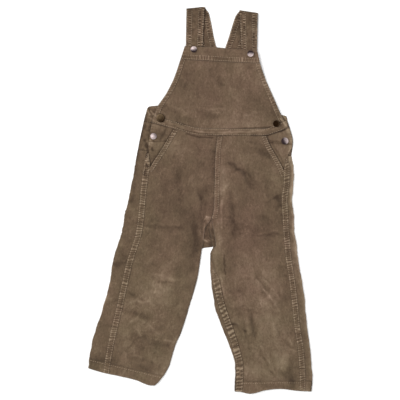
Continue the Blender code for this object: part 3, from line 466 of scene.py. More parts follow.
def waves(x, y, length, seed):
    """Smooth random waves of about this length, -1 to 1."""
    x, y = np.broadcast_arrays(np.asarray(x, float), np.asarray(y, float))
    flat = [noise.noise((a, b, seed)) for a, b in zip((x / length).ravel(), (y / length).ravel())]
    return np.array(flat).reshape(x.shape) * 1.6


def puckers(run, seed, pitch=PUCKER_PITCH):
    """Puckers of a sewn edge at a run along it: 1 on a ridge, 0 between, all of them uneven."""
    wander = 0.55 * waves(run, 0.0, 3.2 * pitch, seed)
    depth = np.clip(0.72 + 0.6 * waves(run, 0.0, 2.6 * pitch, seed + 11.0), 0.25, 1.0)
    return depth * (0.5 + 0.5 * np.cos(2.0 * math.pi * (run / pitch + wander))) ** 1.3


# ---- the garment's surfaces ----
def strayed(x, y, reach, length, seed_x, seed_y):
    """Points moved sideways by up to about reach, by smooth waves of this length."""
    return x + reach * waves(x, y, length, seed_x), y + reach * waves(x, y, length, seed_y)


def capsules(x, y, x0, y0, x1, y1):
    """Distance of points beyond the ends of a line, and their signed distance aside from it."""
    dx, dy = x1 - x0, y1 - y0
    length = math.hypot(dx, dy)
    along = ((x - x0) * dx + (y - y0) * dy) / length
    aside = ((x - x0) * dy - (y - y0) * dx) / length
    beyond = np.maximum(np.maximum(-along, along - length), 0.0)
    return beyond, aside


def spots(x, y, table):
    """Sum of a table's soft spots: from x, y to x, y, spread and value."""
    total = np.zeros(np.shape(x))
    for x0, y0, x1, y1, spread, value in table:
        beyond, aside = capsules(x, y, x0, y0, x1, y1)
        total += value * np.exp(-(beyond ** 2 + aside ** 2) / spread ** 2)
    return total


def ridges(x, y, length, seed):
    """Narrow ridges that wander and fork, about this far apart: 1 on their crests."""
    bent_x = x + 0.35 * length * waves(x, y, 0.8 * length, seed + 0.5)
    crest = 1.0 - np.minimum(np.abs(waves(bent_x, y, length, seed)) / 0.55, 1.0)
    return crest ** 2 * np.clip(0.5 + waves(x, y, 1.7 * length, seed + 5.0), 0.0, 1.0)


def crumple(x, y):
    """Height of the fine creasing that washing leaves, stronger on the legs than on the bib."""
    coarse = ridges(x, y, 34.0, 61.0) - 0.9 * ridges(x, y, 30.0, 67.0)
    fine = ridges(x, y, 15.0, 71.0) - 0.9 * ridges(x, y, 14.0, 77.0)
    return (CRUMPLE * coarse + 0.42 * CRUMPLE * fine) * mix(1.0, 0.55, ease(90.0, 150.0, y))


def crease_rise(x, y):
    """Height of the creases and of the fine creasing between them."""
    total = crumple(x, y)
    stray_x, stray_y = strayed(x, y, FOLD_WANDER, FOLD_WANDER_LENGTH, 3.0, 9.0)
    for x0, y0, x1, y1, spread, rise, lean in CREASES:
        beyond, aside = capsules(stray_x, stray_y, x0, y0, x1, y1)
        fade = bell(beyond, 0.0, 2.2 * spread)
        side = math.copysign(1.0, lean)
        trough = abs(lean) * bell(side * aside, 1.7 * spread, 1.2 * spread)
        total += rise * fade * (bell(aside, 0.0, spread) - trough)
    return total


def fold_rise(x, y):
    """Height that folds, creases and small unevenness add at points of the front."""
    total = crease_rise(x, y) + MARK_RISE * (marks(x, y) + crease_shading_lines(x, y))
    total += spots(x, y, MAIN_FOLDS)
    total += 0.34 * waves(x, y, 31.0, 1.0) + 0.20 * waves(x, y, 12.0, 2.0)
    return np.clip(total, *FOLD_LIMITS)


def back_rise(x, y):
    """Height that the side that lies down stands off the surface at its folds."""
    stray_x, stray_y = strayed(x, y, 4.0, 26.0, 83.0, 89.0)
    total = 0.25 * ridges(x, y, 24.0, 97.0)
    for x0, y0, x1, y1, spread, rise in BACK_FOLDS:
        beyond, aside = capsules(stray_x, stray_y, x0, y0, x1, y1)
        fade = bell(beyond, 0.0, 2.5 * spread)
        total += rise * fade * bell(aside, 0.0, spread)
    return np.clip(total, 0.0, BACK_FOLD_LIMIT)


def crease_shading_lines(x, y):
    """Painted light and shade of the thin crease lines, which bend, thin out and break off."""
    stray_x, stray_y = strayed(x, y, 2.6, 17.0, 43.0, 47.0)
    strength = LINE_SHARE * np.clip(0.75 + 0.8 * waves(x, y, 9.0, 53.0), 0.15, 1.2)
    total = np.zeros(np.shape(x))
    for x0, y0, x1, y1, spread, tone in CREASE_SHADING_LINES:
        beyond, aside = capsules(stray_x, stray_y, x0, y0, x1, y1)
        fade = bell(beyond, 0.0, 2.5 * spread)
        core = 0.6 * bell(aside, 0.0, spread) + 0.4 * bell(aside, 0.0, 2.4 * spread)
        total += tone * fade * core
    return total * strength


def wear_and_painted_light(x, y, share=1.0):
    """Tone from abrasion, washing and soil and from painted light and shade, of which share counts,
    with the sharp marks.
    """
    total = CREASE_PAINTED_LIGHT * np.clip(crease_rise(x, y), -1.6, 1.6)
    total += WEAR_AND_PAINTED_LIGHT_DEPTH * spots(*strayed(x, y, 4.0, 22.0, 13.0, 19.0), WEAR_AND_PAINTED_LIGHT)
    return share * (total + crease_shading_lines(x, y)) + marks(x, y)


def marks(x, y):
    """Tone of the sharp marks of painted shade and highlight, whose lines stray only a little."""
    return spots(*strayed(x, y, 0.9, 6.0, 23.0, 29.0), MARKS)


def rosy(x, y):
    """How reddish the brown has stayed: most on the bib and the inner fronts, least at the rims."""
    centre = bell(x, 30.0, 88.0) * ease(-190.0, -60.0, y) * mix(1.0, 0.6, ease(250.0, 290.0, y))
    right_inner = bell(x, 92.0, 48.0) * ease(-250.0, -150.0, y) * ease(0.0, -60.0, y)
    left_inner = bell(x, -58.0, 18.0) * ease(-170.0, -110.0, y) * ease(40.0, -20.0, y)
    fork = 1.3 * bell(x, 26.0, 10.0) * bell(y, -8.0, 24.0)
    fork = fork - 1.2 * bell(x, 30.0, 13.0) * bell(y, -100.0, 50.0)
    total = 1.1 * centre + 0.8 * right_inner + 0.6 * left_inner + fork
    return np.clip(1.6 * total - 0.8, -1.0, 1.6)


def waist_y(x):
    return pairs(WAIST_SEAM, x)


def leg_top(x, y):
    """Outer face of a leg's front."""
    return FRONT_TOP + fold_rise(x, y)


def strap_under(x, y):
    """1 where a strap lies under the bib, falling to 0 beside it."""
    most = np.zeros(np.shape(x))
    for strap in STRAPS.values():
        left, right = strap["end"][0], strap["end"][2]
        centre, half = (left + right) / 2.0, (right - left) / 2.0
        most = np.maximum(most, ease(half + 15.0, half + 4.0, np.abs(x - centre)))
    return most * ease(198.0, 240.0, y)


def bib_edges_at_y(y):
    """x of the bib's left and right edges at heights."""
    left = through([-row[0] for row in BIB], [row[1] for row in BIB], -y)
    right = through([-row[2] for row in BIB], [row[3] for row in BIB], -y)
    return left, right


def bib_top(x, y):
    """Outer face of the bib: up over the straps, and sunk at its free sides."""
    left, right = bib_edges_at_y(y)
    inside = np.clip(np.minimum(x - left, right - x) / BIB_DROOP_WIDTH, 0.0, 1.0)
    free = ease(236.0, 204.0, y) * mix(0.45, 1.0, ease(162.0, 190.0, y))
    lifted = FRONT_TOP + STRAP_LIFT * strap_under(x, y)
    return lifted + fold_rise(x, y) - BIB_DROOP * (1.0 - inside) ** 2 * free


def band_top(x, y):
    """What the waist band lies on: the higher of the bib and the legs, which meet under it."""
    seam = waist_y(x)
    return np.maximum(bib_top(x, np.maximum(y, seam)), leg_top(x, np.minimum(y, seam)))


class Leg:
    """One leg, by its stations: side is -1 for the left leg and +1 for the right."""

    def __init__(self, name, side, table, hem_wave):
        self.name = name
        self.side = side
        self.columns = dict(zip(LEG_COLUMNS, zip(*table)))
        self.hem_wave = hem_wave
        self.grain = math.atan2(table[-1][1] - table[3][1], table[3][0] - table[-1][0])

    def size(self, name, t):
        values = self.columns[name]
        last = len(values) - 1
        if name == "x_in":
            upper = through(range(CROTCH + 1), values[:CROTCH + 1], np.minimum(t, CROTCH))
            lower = through(range(CROTCH, last + 1), values[CROTCH:], np.maximum(t, CROTCH))
            return np.where(t <= CROTCH, upper, lower)
        size = through(range(last + 1), values, t)
        if name in ("x_out", "x_back"):
            uneven = 0.8 * waves(t, 0.0, 0.55, 31.0 + self.side) + 0.4 * waves(t, 0.0, 0.2, 37.0)
            starts = NOTCH if name == "x_out" else INSEAM_TOP
            size = size + uneven * ease(starts - 1.0, starts + 1.0, t) * ease(16.2, 15.4, t)
        return size

    def y(self, t, x):
        """y of station lines t at x: the top lines follow the waist seam."""
        x_out, x_in = self.size("x_out", t), self.size("x_in", t)
        top = {name: self.columns[name][0] for name in LEG_COLUMNS}
        share = (x - x_out) / (x_in - x_out)
        top_share = np.minimum((x - top["x_out"]) / (top["x_in"] - top["x_out"]), 1.0)
        y = mix(self.size("y_out", t), self.size("y_in", t), share)
        seam_bow = waist_y(x) - mix(top["y_out"], top["y_in"], top_share)
        y = y + seam_bow * (1.0 - np.minimum(t / POCKET_END, 1.0)) ** 2
        return y - pairs(self.hem_wave, share) * ease(HEM_TOP, HEM_EDGE, t)

    def run(self, name, t):
        """Length along a seam of this leg, from the waist seam down to stations t."""
        steps = np.linspace(0.0, HEM_EDGE, 400)
        x = self.size(name, steps)
        length = np.hypot(np.diff(x), np.diff(self.y(steps, x)))
        return np.interp(t, steps, np.concatenate(([0.0], np.cumsum(length))))

    def grain_at(self, x, y):
        """Places along and across the cloth's wales, which run down the leg."""
        across = x * math.cos(self.grain) + y * math.sin(self.grain)
        along = y * math.cos(self.grain) - x * math.sin(self.grain)
        return across, along


LEGS = (
    Leg("left", -1, LEFT_LEG, LEFT_HEM_WAVE),
    Leg("right", 1, RIGHT_LEG, RIGHT_HEM_WAVE),
)


# ---- making cloth ----
def new_mesh(name, bm):
    """A mesh from a bmesh, which is freed."""
    mesh = bpy.data.meshes.new(name)
    bm.to_mesh(mesh)
    bm.free()
    return mesh


def cloth(name, rows, columns, place, wall, finish, grows=-1.0, drop=None, closed=False):
    """A cloth shell: a grid whose points come from place(row shares, column shares).

    place gives x, y, z in millimetres, the two places u, v on the cloth's grain, and the tone.
    The grid is the shell's outer face where grows is -1 and its middle where grows is 0.
    drop(row, column) says which faces to leave out, and closed joins a ring's two ends.
    """
    bm = bmesh.new()
    bmesh.ops.create_grid(bm, x_segments=columns, y_segments=rows, size=0.5)
    if drop:
        unwanted = []
        for face in bm.faces:
            middle = face.calc_center_median()
            if drop((0.5 - middle.y) * rows, (middle.x + 0.5) * columns):
                unwanted.append(face)
        bmesh.ops.delete(bm, geom=unwanted, context="FACES")
    mesh = new_mesh(name, bm)
    flat = np.empty(len(mesh.vertices) * 3)
    mesh.vertices.foreach_get("co", flat)
    flat = flat.reshape(-1, 3)
    placed = place(0.5 - flat[:, 1], flat[:, 0] + 0.5)
    x, y, z, u, v, tone = (np.broadcast_to(values, len(flat)) for values in placed)
    mesh.vertices.foreach_set("co", (np.stack((x, y, z), axis=1) * MM).ravel())
    corner = np.empty(len(mesh.loops), int)
    mesh.loops.foreach_get("vertex_index", corner)
    grain = mesh.uv_layers.new(name="grain")
    grain.uv.foreach_set("vector", (np.stack((u, v), axis=1)[corner] * MM).ravel())
    for attribute, values in (("tone", tone), ("rosy", rosy(x, y))):
        layer = mesh.attributes.new(attribute, "FLOAT", "POINT")
        layer.data.foreach_set("value", np.ascontiguousarray(values, dtype=np.float32))
    if closed:
        ring = bmesh.new()
        ring.from_mesh(mesh)
        bmesh.ops.remove_doubles(ring, verts=ring.verts, dist=0.00001)
        ring.to_mesh(mesh)
        ring.free()
    mesh.shade_smooth()
    return add_piece(name, mesh, finish, wall, grows)


def add_piece(name, mesh, finish, wall=None, grows=-1.0):
    """A visible piece of the garment; with a wall, a skin that is thickened to it."""
    piece = bpy.data.objects.new(name, mesh)
    mesh.materials.append(finish)
    bpy.context.scene.collection.objects.link(piece)
    if wall:
        thick = piece.modifiers.new("cloth wall", "SOLIDIFY")
        thick.thickness = wall * MM
        thick.offset = grows
        thick.use_even_offset = True
        thick.thickness_clamp = 2.0
    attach(piece, "root")
    return piece


def mirrored(place, side):
    """Runs a grid's columns the other way where side is +1, so its faces keep pointing up."""
    if side < 0:
        return place
    return lambda along, across: place(along, 1.0 - across)


def stands_for(piece, node, slot):
    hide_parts(node)
    return piece


def panel(node, slot, rows, columns, place, wall, finish, side=-1, **how):
    """A node's cloth, made by cloth(), with its place(): side is that of a leg's piece."""
    piece = cloth(node + "_cloth", rows, columns, mirrored(place, side), wall, finish, **how)
    return stands_for(piece, node, slot), place


def felled(edges, surface, run, seed, base=0.25, rungs=1.0, rims=(0.9, 0.9), rails=0.0,
           pitch=PUCKER_PITCH, sewn=(0.16, 0.84), slant=1.5, fade=0.0):
    """place() of a felled seam: edges(along) gives x, y of its two edges, run(along) its length.

    The seam is puffed between its edges, drawn in at its rows of stitches and puckered across,
    each row of stitches with puckers of its own: their ridges abraded paler and their hollows
    darkened as painted shade. rims darken its two edges with painted shade and dirt, and rails
    brighten the cloth along its stitches. slant is how far a pucker runs on from edge to edge, and
    fade the share of the seam over which its puckers start.
    """

    def place(along, across):
        x0, y0, x1, y1 = edges(along)
        x, y = mix(x0, x1, across), mix(y0, y1, across)
        length = run(along)
        rows = [puckers(length + slant * across, seed + shift, pitch) for shift in (0.0, 0.37)]
        strength = ease(0.0, fade, along) if fade > 0.0 else 1.0
        ridge = mix(rows[0], rows[1], ease(0.3, 0.7, across))
        between = 1.0 - np.abs(2.0 * across - 1.0) ** 4
        drawn = bell(across, sewn[0], 0.07) + bell(across, sewn[1], 0.07)
        puff = FELL_CROWN * (1.0 - np.abs(2.0 * across - 1.0) ** 3) - 0.22 * drawn
        drawn_up = strength * rungs * (ridge - 0.35)
        z = surface(x, y) + FELL_FOOT + puff + 0.75 * drawn_up * between
        z = np.maximum(z, surface(x, y) + FELL_FOOT)
        edge = rims[0] * ease(0.09, 0.0, across) + rims[1] * ease(0.91, 1.0, across)
        rail = rails * np.clip(0.7 + 0.8 * waves(length, across, 9.0, seed + 3.0), 0.0, 1.4)
        rubbed = (0.6 + 0.5 * drawn) * (0.35 + 0.65 * between)
        # painted light and shade: pucker ridges abraded paler and hollows darker, and the two edges
        # darker as painted shade with dirt
        tone = strength * (base + RUNG_TONE * rungs * (ridge - 0.40) * rubbed - edge)
        tone = tone + (rail - 0.20) * drawn + wear_and_painted_light(x, y, 0.4) + 0.3 * waves(x, y, 7.0, seed)
        width = np.hypot(x1 - x0, y1 - y0)
        return x, y, z, width * across, length, tone

    return place


# ---- stitches ----
def surface_points(place, along, across, lift):
    """Points on a placed cloth, lifted off it by lift mm, and the cloth's normals there."""
    step = 0.0015

    def at(a, b):
        x, y, z = place(a, b)[:3]
        return np.stack(np.broadcast_arrays(x, y, z), axis=-1)

    here = at(along, across)
    down = at(along - step, across) - at(along + step, across)
    over = at(along, across + step) - at(along, across - step)
    normal = np.cross(over, down)
    normal /= np.linalg.norm(normal, axis=1, keepdims=True)
    return here + normal * lift, normal


def stitch_rows(name, rows):
    """Rows of top stitches as one piece. A row is place, (along, across) from and to, lift."""
    chance = random.Random(name)
    long, wide, high = STITCH_SIZE
    bm = bmesh.new()
    for place, start, end, lift in rows:
        share = np.linspace(0.0, 1.0, STITCH_SAMPLES)
        along, across = mix(start[0], end[0], share), mix(start[1], end[1], share)
        points, normals = surface_points(place, along, across, lift)
        step = np.linalg.norm(np.diff(points, axis=0), axis=1)
        length = np.concatenate(([0.0], np.cumsum(step)))
        count = max(int(length[-1] / STITCH_PITCH), 1)
        for k in range(count):
            middle = (k + 0.5) * length[-1] / count
            ends = (middle - STITCH_BITE * long, middle + STITCH_BITE * long)
            at = [np.array([np.interp(s, length, points[:, i]) for i in range(3)]) for s in ends]
            up = Vector([np.interp(middle, length, normals[:, i]) for i in range(3)]).normalized()
            run = Vector(at[1] - at[0]).normalized()
            side = up.cross(run).normalized()
            side = (side + run * chance.uniform(-0.09, 0.09)).normalized()
            up = run.cross(side)
            grow = chance.uniform(0.86, 1.1)
            turn = Matrix((run, side, up)).transposed().to_4x4()
            stretch = Matrix.Diagonal((long * grow * MM, wide * MM, high * MM, 1.0))
            matrix = Matrix.Translation(Vector((at[0] + at[1]) / 2.0) * MM) @ turn @ stretch
            bmesh.ops.create_uvsphere(bm, u_segments=6, v_segments=4, radius=0.5, matrix=matrix)
    mesh = new_mesh(name, bm)
    mesh.shade_smooth()
    piece = add_piece(name, mesh, TOP_THREAD)
    return piece


# ---- finishes ----
def add_node(tree, kind, inputs=None, **settings):
    """A node with its settings, and its inputs given as values or as sockets to link."""
    node = tree.nodes.new(kind)
    for name, value in settings.items():
        setattr(node, name, value)
    for name, value in (inputs or {}).items():
        if isinstance(value, bpy.types.NodeSocket):
            tree.links.new(value, node.inputs[name])
        else:
            node.inputs[name].default_value = value
    return node


def calc(tree, operation, first, second=0.0, third=0.0):
    """Result of a Math node on up to three values or sockets."""
    node = add_node(tree, "ShaderNodeMath", operation=operation)
    for socket, value in zip(node.inputs, (first, second, third)):
        if isinstance(value, bpy.types.NodeSocket):
            tree.links.new(value, socket)
        else:
            socket.default_value = value
    return node.outputs[0]


def scaled(tree, value, factor, added):
    """value * factor + added, each of them a number or a socket."""
    return calc(tree, "MULTIPLY_ADD", value, factor, added)


def cloud(tree, place, scale, detail=2.0, roughness=0.5, distortion=0.0):
    """Soft noise from -1 to 1."""
    node = add_node(tree, "ShaderNodeTexNoise", {
        "Vector": place, "Scale": scale, "Detail": detail, "Roughness": roughness,
        "Distortion": distortion,
    })
    return scaled(tree, node.outputs["Fac"], 4.0, -2.0)


def attribute(tree, name):
    return add_node(tree, "ShaderNodeAttribute", attribute_name=name).outputs["Fac"]


def object_place(tree):
    return add_node(tree, "ShaderNodeTexCoord").outputs["Object"]


def drawn_out(tree, grain, share):
    """Places on the grain, the way along it shrunk to a share so that noise runs on along it."""
    node = add_node(tree, "ShaderNodeMapping", {"Vector": grain, "Scale": (1.0, share, 1.0)})
    return node.outputs[0]


def bumped(tree, shader, height, strength, relief):
    """Gives a shader a bump that is relief millimetres high where the height is 1."""
    bump = add_node(tree, "ShaderNodeBump", {
        "Height": height, "Strength": strength, "Distance": relief * MM,
    })
    tree.links.new(bump.outputs["Normal"], shader.inputs["Normal"])


def shader_group(name, inputs, outputs):
    """An empty node group with named sockets, and its two end nodes."""
    group = bpy.data.node_groups.new(name, "ShaderNodeTree")
    for socket, kind in inputs.items():
        group.interface.new_socket(socket, in_out="INPUT", socket_type=kind)
    for socket, kind in outputs.items():
        group.interface.new_socket(socket, in_out="OUTPUT", socket_type=kind)
    return group, group.nodes.new("NodeGroupInput"), group.nodes.new("NodeGroupOutput")


WALE_STRAY = 0.22          # how far a wale wanders sideways, in millimetres


def wale_group():
    """Ribs of the corduroy: rounded, with narrow grooves, and pressed flat in places."""
    group, given, result = shader_group(
        "corduroy_wale",
        {"Grain": "NodeSocketVector", "Pitch": "NodeSocketFloat"},
        {"Height": "NodeSocketFloat", "Groove": "NodeSocketFloat"},
    )
    grain = given.outputs["Grain"]
    across = add_node(group, "ShaderNodeSeparateXYZ", {0: grain}).outputs["X"]
    bent = scaled(group, cloud(group, grain, 60.0), WALE_STRAY * MM, across)
    turns = calc(group, "DIVIDE", bent, given.outputs["Pitch"])
    wave = calc(group, "SINE", calc(group, "MULTIPLY", turns, 2.0 * math.pi))
    rib = calc(group, "POWER", scaled(group, wave, 0.5, 0.5), 0.6)
    pressed = scaled(group, cloud(group, grain, 85.0, 2.0), 0.22, 0.72)
    nap = cloud(group, drawn_out(group, grain, 0.25), 1500.0, 1.0)
    ribbed = calc(group, "MULTIPLY", rib, pressed)
    group.links.new(scaled(group, nap, 0.16, ribbed), result.inputs["Height"])
    hollow = calc(group, "POWER", calc(group, "SUBTRACT", 1.0, rib), 1.5)
    group.links.new(calc(group, "MULTIPLY", hollow, pressed), result.inputs["Groove"])
    return group


def mottle_group():
    """Brushed and rubbed nap: patches, blots, small flecks, crush lines and a drift of hue."""
    group, given, result = shader_group(
        "rubbed_nap",
        {"Place": "NodeSocketVector", "Grain": "NodeSocketVector"},
        {"Patches": "NodeSocketFloat", "Blots": "NodeSocketFloat", "Flecks": "NodeSocketFloat",
         "Facets": "NodeSocketFloat", "Crush Lines": "NodeSocketFloat", "Hue": "NodeSocketFloat"},
    )
    place, grain = given.outputs["Place"], given.outputs["Grain"]
    swirl = add_node(group, "ShaderNodeTexNoise", {"Vector": place, "Scale": 70.0, "Detail": 2.0})
    bent = add_node(group, "ShaderNodeVectorMath", operation="MULTIPLY_ADD")
    group.links.new(swirl.outputs["Color"], bent.inputs[0])
    bent.inputs[1].default_value = (0.02, 0.02, 0.0)
    group.links.new(place, bent.inputs[2])
    facets = None
    for scale, weight in ((52.0, 1.0), (115.0, 0.7)):
        cells = add_node(group, "ShaderNodeTexVoronoi", {"Vector": bent.outputs[0], "Scale": scale},
                         feature="SMOOTH_F1")
        cells.inputs["Smoothness"].default_value = 0.25
        tones = add_node(group, "ShaderNodeSeparateColor", {"Color": cells.outputs["Color"]})
        facet = scaled(group, tones.outputs[0], 2.0 * weight, -weight)
        facets = facet if facets is None else calc(group, "ADD", facets, facet)
    group.links.new(facets, result.inputs["Facets"])
    group.links.new(cloud(group, place, 26.0, 3.0, 0.6, 0.5), result.inputs["Patches"])
    streaked = drawn_out(group, grain, 0.34)
    group.links.new(cloud(group, streaked, 190.0, 2.0, 0.6, 0.6), result.inputs["Blots"])
    drawn = drawn_out(group, grain, 0.6)
    fine = cloud(group, drawn, 330.0, 1.0, 0.7, 0.4)
    grit = cloud(group, drawn, 900.0, 1.0, 0.6)
    fleck = scaled(group, calc(group, "ABSOLUTE", fine), 0.9, 0.7)
    fleck = calc(group, "MULTIPLY", fine, fleck)
    group.links.new(scaled(group, grit, 0.8, fleck), result.inputs["Flecks"])
    contour = calc(group, "ABSOLUTE", cloud(group, place, 78.0, 1.0, 0.5, 1.4))
    line = calc(group, "SUBTRACT", 1.0, calc(group, "DIVIDE", contour, 0.22))
    line = calc(group, "MAXIMUM", line, 0.0)
    gate = calc(group, "MAXIMUM", cloud(group, place, 34.0, 1.0), 0.0)
    group.links.new(calc(group, "MULTIPLY", line, gate), result.inputs["Crush Lines"])
    group.links.new(cloud(group, place, 16.0, 5.0, 0.68), result.inputs["Hue"])
    return group


NAP_WEIGHTS = {"Patches": 0.10, "Blots": 0.22, "Flecks": 0.28, "Facets": 0.17, "Crush Lines": 0.6}
RELIEF_WEIGHTS = {"Blots": 0.35, "Flecks": 0.25, "Crush Lines": 0.5}
GROOVE_SHADE = -0.34        # painted shade in the grooves between the wales
CORDUROY_LOOK = {
    "Roughness": 0.93, "Specular IOR Level": 0.22, "Sheen Weight": 0.22, "Sheen Roughness": 0.55,
    "Sheen Tint": (0.86, 0.76, 0.66, 1.0),
}
THREAD_LOOK = {"Roughness": 0.8, "Specular IOR Level": 0.3}
METAL_LOOK = {"Metallic": 1.0}
WALE = wale_group()
MOTTLE = mottle_group()


def new_material(name, look):
    """A material, its node tree and its shader, whose inputs are set as look says."""
    made = bpy.data.materials.new(name)
    made.use_nodes = True
    shader = made.node_tree.nodes["Principled BSDF"]
    for socket, value in look.items():
        shader.inputs[socket].default_value = value
    return made, made.node_tree, shader


def ramp(tree, value, stops):
    """Colour at a value between stops of (position, colour)."""
    node = add_node(tree, "ShaderNodeValToRGB", {"Fac": value})
    points = node.color_ramp.elements
    while len(points) < len(stops):
        points.new(0.5)
    for point, (position, colour) in zip(points, stops):
        point.position = position
        point.color = (*colour, 1.0)
    return node.outputs["Color"]


def corduroy(name, lift, pitch, relief):
    """Washed corduroy: lift shifts it lighter or darker, pitch is its wale's, relief its depth."""
    made, tree, shader = new_material(name, CORDUROY_LOOK)
    place = object_place(tree)
    grain = add_node(tree, "ShaderNodeUVMap", uv_map="grain").outputs["UV"]
    mottle = add_node(tree, "ShaderNodeGroup", node_tree=MOTTLE)
    tree.links.new(place, mottle.inputs["Place"])
    tree.links.new(grain, mottle.inputs["Grain"])
    wale = add_node(tree, "ShaderNodeGroup", node_tree=WALE)
    tree.links.new(grain, wale.inputs["Grain"])
    wale.inputs["Pitch"].default_value = pitch * MM

    total = calc(tree, "ADD", attribute(tree, "tone"), lift)
    for socket, weight in NAP_WEIGHTS.items():
        total = scaled(tree, mottle.outputs[socket], weight, total)
    total = scaled(tree, wale.outputs["Groove"], GROOVE_SHADE, total)
    shade = scaled(tree, total, 0.30, 0.5)
    colour = ramp(tree, shade, (
        (0.04, NAP_DARK), (0.30, NAP_LOW), (0.50, NAP_MIDDLE), (0.70, NAP_HIGH), (0.96, NAP_WORN_AND_LIT),
    ))
    drift = scaled(tree, mottle.outputs["Hue"], 0.40, 0.5)
    drift = scaled(tree, attribute(tree, "rosy"), 0.22, drift)
    tint = ramp(tree, drift, ((0.0, OLIVE_TINT), (1.0, ROSY_TINT)))
    tinted = add_node(tree, "ShaderNodeMix", data_type="RGBA", blend_type="MULTIPLY")
    tinted.inputs[0].default_value = 1.0
    tree.links.new(colour, tinted.inputs[6])
    tree.links.new(tint, tinted.inputs[7])
    tree.links.new(tinted.outputs[2], shader.inputs["Base Color"])

    height = wale.outputs["Height"]
    for socket, weight in RELIEF_WEIGHTS.items():
        height = scaled(tree, mottle.outputs[socket], weight, height)
    bumped(tree, shader, height, 1.0, relief)
    return made


def thread(name):
    """Matt sewing thread, a little paler than the cloth."""
    made, tree, shader = new_material(name, THREAD_LOOK)
    place = object_place(tree)
    mottle = add_node(tree, "ShaderNodeGroup", node_tree=MOTTLE)
    tree.links.new(place, mottle.inputs["Place"])
    faded = scaled(tree, mottle.outputs["Patches"], 0.25, 0.5)
    colour = ramp(tree, faded, ((0.0, tuple(0.62 * c for c in THREAD)), (1.0, THREAD)))
    tree.links.new(colour, shader.inputs["Base Color"])
    bumped(tree, shader, cloud(tree, place, 2600.0, 1.0), 0.6, 0.05)
    return made


def button_metal(name, deep_and_shaded, rubbed, roughness):
    """Plated metal, tarnished in its hollows and abraded bright where it stands proud, with a
    painted reflection.
    """
    made, tree, shader = new_material(name, METAL_LOOK)
    place = object_place(tree)
    worn_and_shaded = scaled(tree, attribute(tree, "tone"), 0.42, 0.5)
    worn_and_shaded = scaled(tree, cloud(tree, place, 420.0, 3.0, 0.65), 0.16, worn_and_shaded)
    tree.links.new(ramp(tree, worn_and_shaded, ((0.1, deep_and_shaded), (0.9, rubbed))), shader.inputs["Base Color"])
    rough = scaled(tree, worn_and_shaded, -0.16, roughness + 0.08)
    tree.links.new(rough, shader.inputs["Roughness"])
    bumped(tree, shader, cloud(tree, place, 900.0, 2.0), 0.5, 0.03)
    return made


FRONT_CLOTH = corduroy("corduroy_washed", 0.0, 1.3, 0.30)
SEAM_CLOTH = corduroy("corduroy_rubbed_seams", 0.06, 1.3, 0.26)
BACK_CLOTH = corduroy("corduroy_shaded_back", -0.10, 1.3, 0.30)
TOP_THREAD = thread("top_thread")
METALS = {
    "dark_bronze": button_metal("dark_bronze_worn", BRONZE_DEEP_AND_SHADED, BRONZE_RUBBED_AND_LIT, 0.56),
    "antique_silver": button_metal("antique_silver_worn", SILVER_DEEP_AND_SHADED, SILVER_RUBBED_AND_LIT, 0.62),
}


# ---- legs ----
CURL_RADIUS = 3.1          # of a leg front's free edge, where it turns down onto the back
CURL_FOOT = 1.3            # height where it meets the back
RETURN_STARTS = 0.7        # stations above the inseam where the back starts to turn over
FOLD_RIM_LIGHT = {-1: 0.0, 1: 0.9}     # painted light along the side folds' edges, left and right: the right fold turns away from the light
BACK_LAP = 2.0             # how far the right back panel lies over the left one at their seam
FORK_X = 14.0              # where the back shows between the legs, in the leg fronts' shadow
SMALL_TURN = 0.000001      # above this an angle or a share counts as begun
PANEL_SHY = 0.9998         # share of the way to the hem's top at which a leg's panels end
HEM_TOP_CELLS, HEM_ARC_CELLS, HEM_FLOOR_CELLS = 84, 8, 30
HEM_CELLS = HEM_TOP_CELLS + HEM_FLOOR_CELLS + 2 * HEM_ARC_CELLS


def leg_front(leg):
    """Front panel: folded down onto the back wherever its inner edge is free."""

    def place(along, across):
        t = along * HEM_TOP * PANEL_SHY
        outer = leg.size("x_front", t) - leg.side * JOIN / 2.0
        inner = leg.size("x_in", t) + leg.side * JOIN / 2.0
        free = ease(CROTCH - 0.5, CROTCH + 0.5, t)
        if leg.side > 0:
            free = free * ease(INSEAM_TOP, INSEAM_TOP - 0.6, t)
        plain = mix(outer, inner, across)
        turn_at = inner + leg.side * CURL_RADIUS
        arc = CURL_RADIUS * math.pi / 2.0
        length = np.abs(turn_at - outer)
        cloth_at = across * (length + arc)
        turn = np.clip((cloth_at - length) / CURL_RADIUS, 0.0, math.pi / 2.0)
        curled = np.where(
            cloth_at < length,
            outer - leg.side * cloth_at,
            turn_at - leg.side * CURL_RADIUS * np.sin(turn),
        )
        x = mix(plain, curled, free)
        y = leg.y(t, x) - np.where(along == 0.0, JOIN / 2.0, 0.0)
        top = leg_top(x, y)
        to_side = np.abs(x - outer)
        to_inner = np.abs(x - inner)
        sewn = puckers(leg.run("x_front", t), 5.0 + leg.side)
        centre = puckers(leg.run("x_in", t), 8.0) * (1.0 - free)
        ripple = (sewn - PUCKER_MEAN) * near(to_side, 8.0)
        ripple = ripple + (centre - PUCKER_MEAN) * near(to_inner, 8.0)
        hem_draw = bell(along, 1.0, 0.02)
        z = top + 0.42 * ripple - 0.25 * hem_draw
        turned_down = free * (1.0 - np.cos(turn))
        z = z - turned_down * (z - CURL_FOOT)
        # tone: puckers paler on their ridges and darker in their hollows, painted shade with dirt
        # beside the side and centre seams, and painted shade on the curl that turns down
        tone = wear_and_painted_light(x, y) + 0.42 * ripple - 0.22 * near(to_side, 3.0)
        tone = tone - 0.55 * (1.0 - free) * near(to_inner, 2.2) - 0.3 * turned_down
        u, v = leg.grain_at(x, y)
        return x, y, z, u, v, tone

    return panel("leg_front_" + leg.name, "corduroy", 400, 104, place, WALL, FRONT_CLOTH,
                 leg.side)


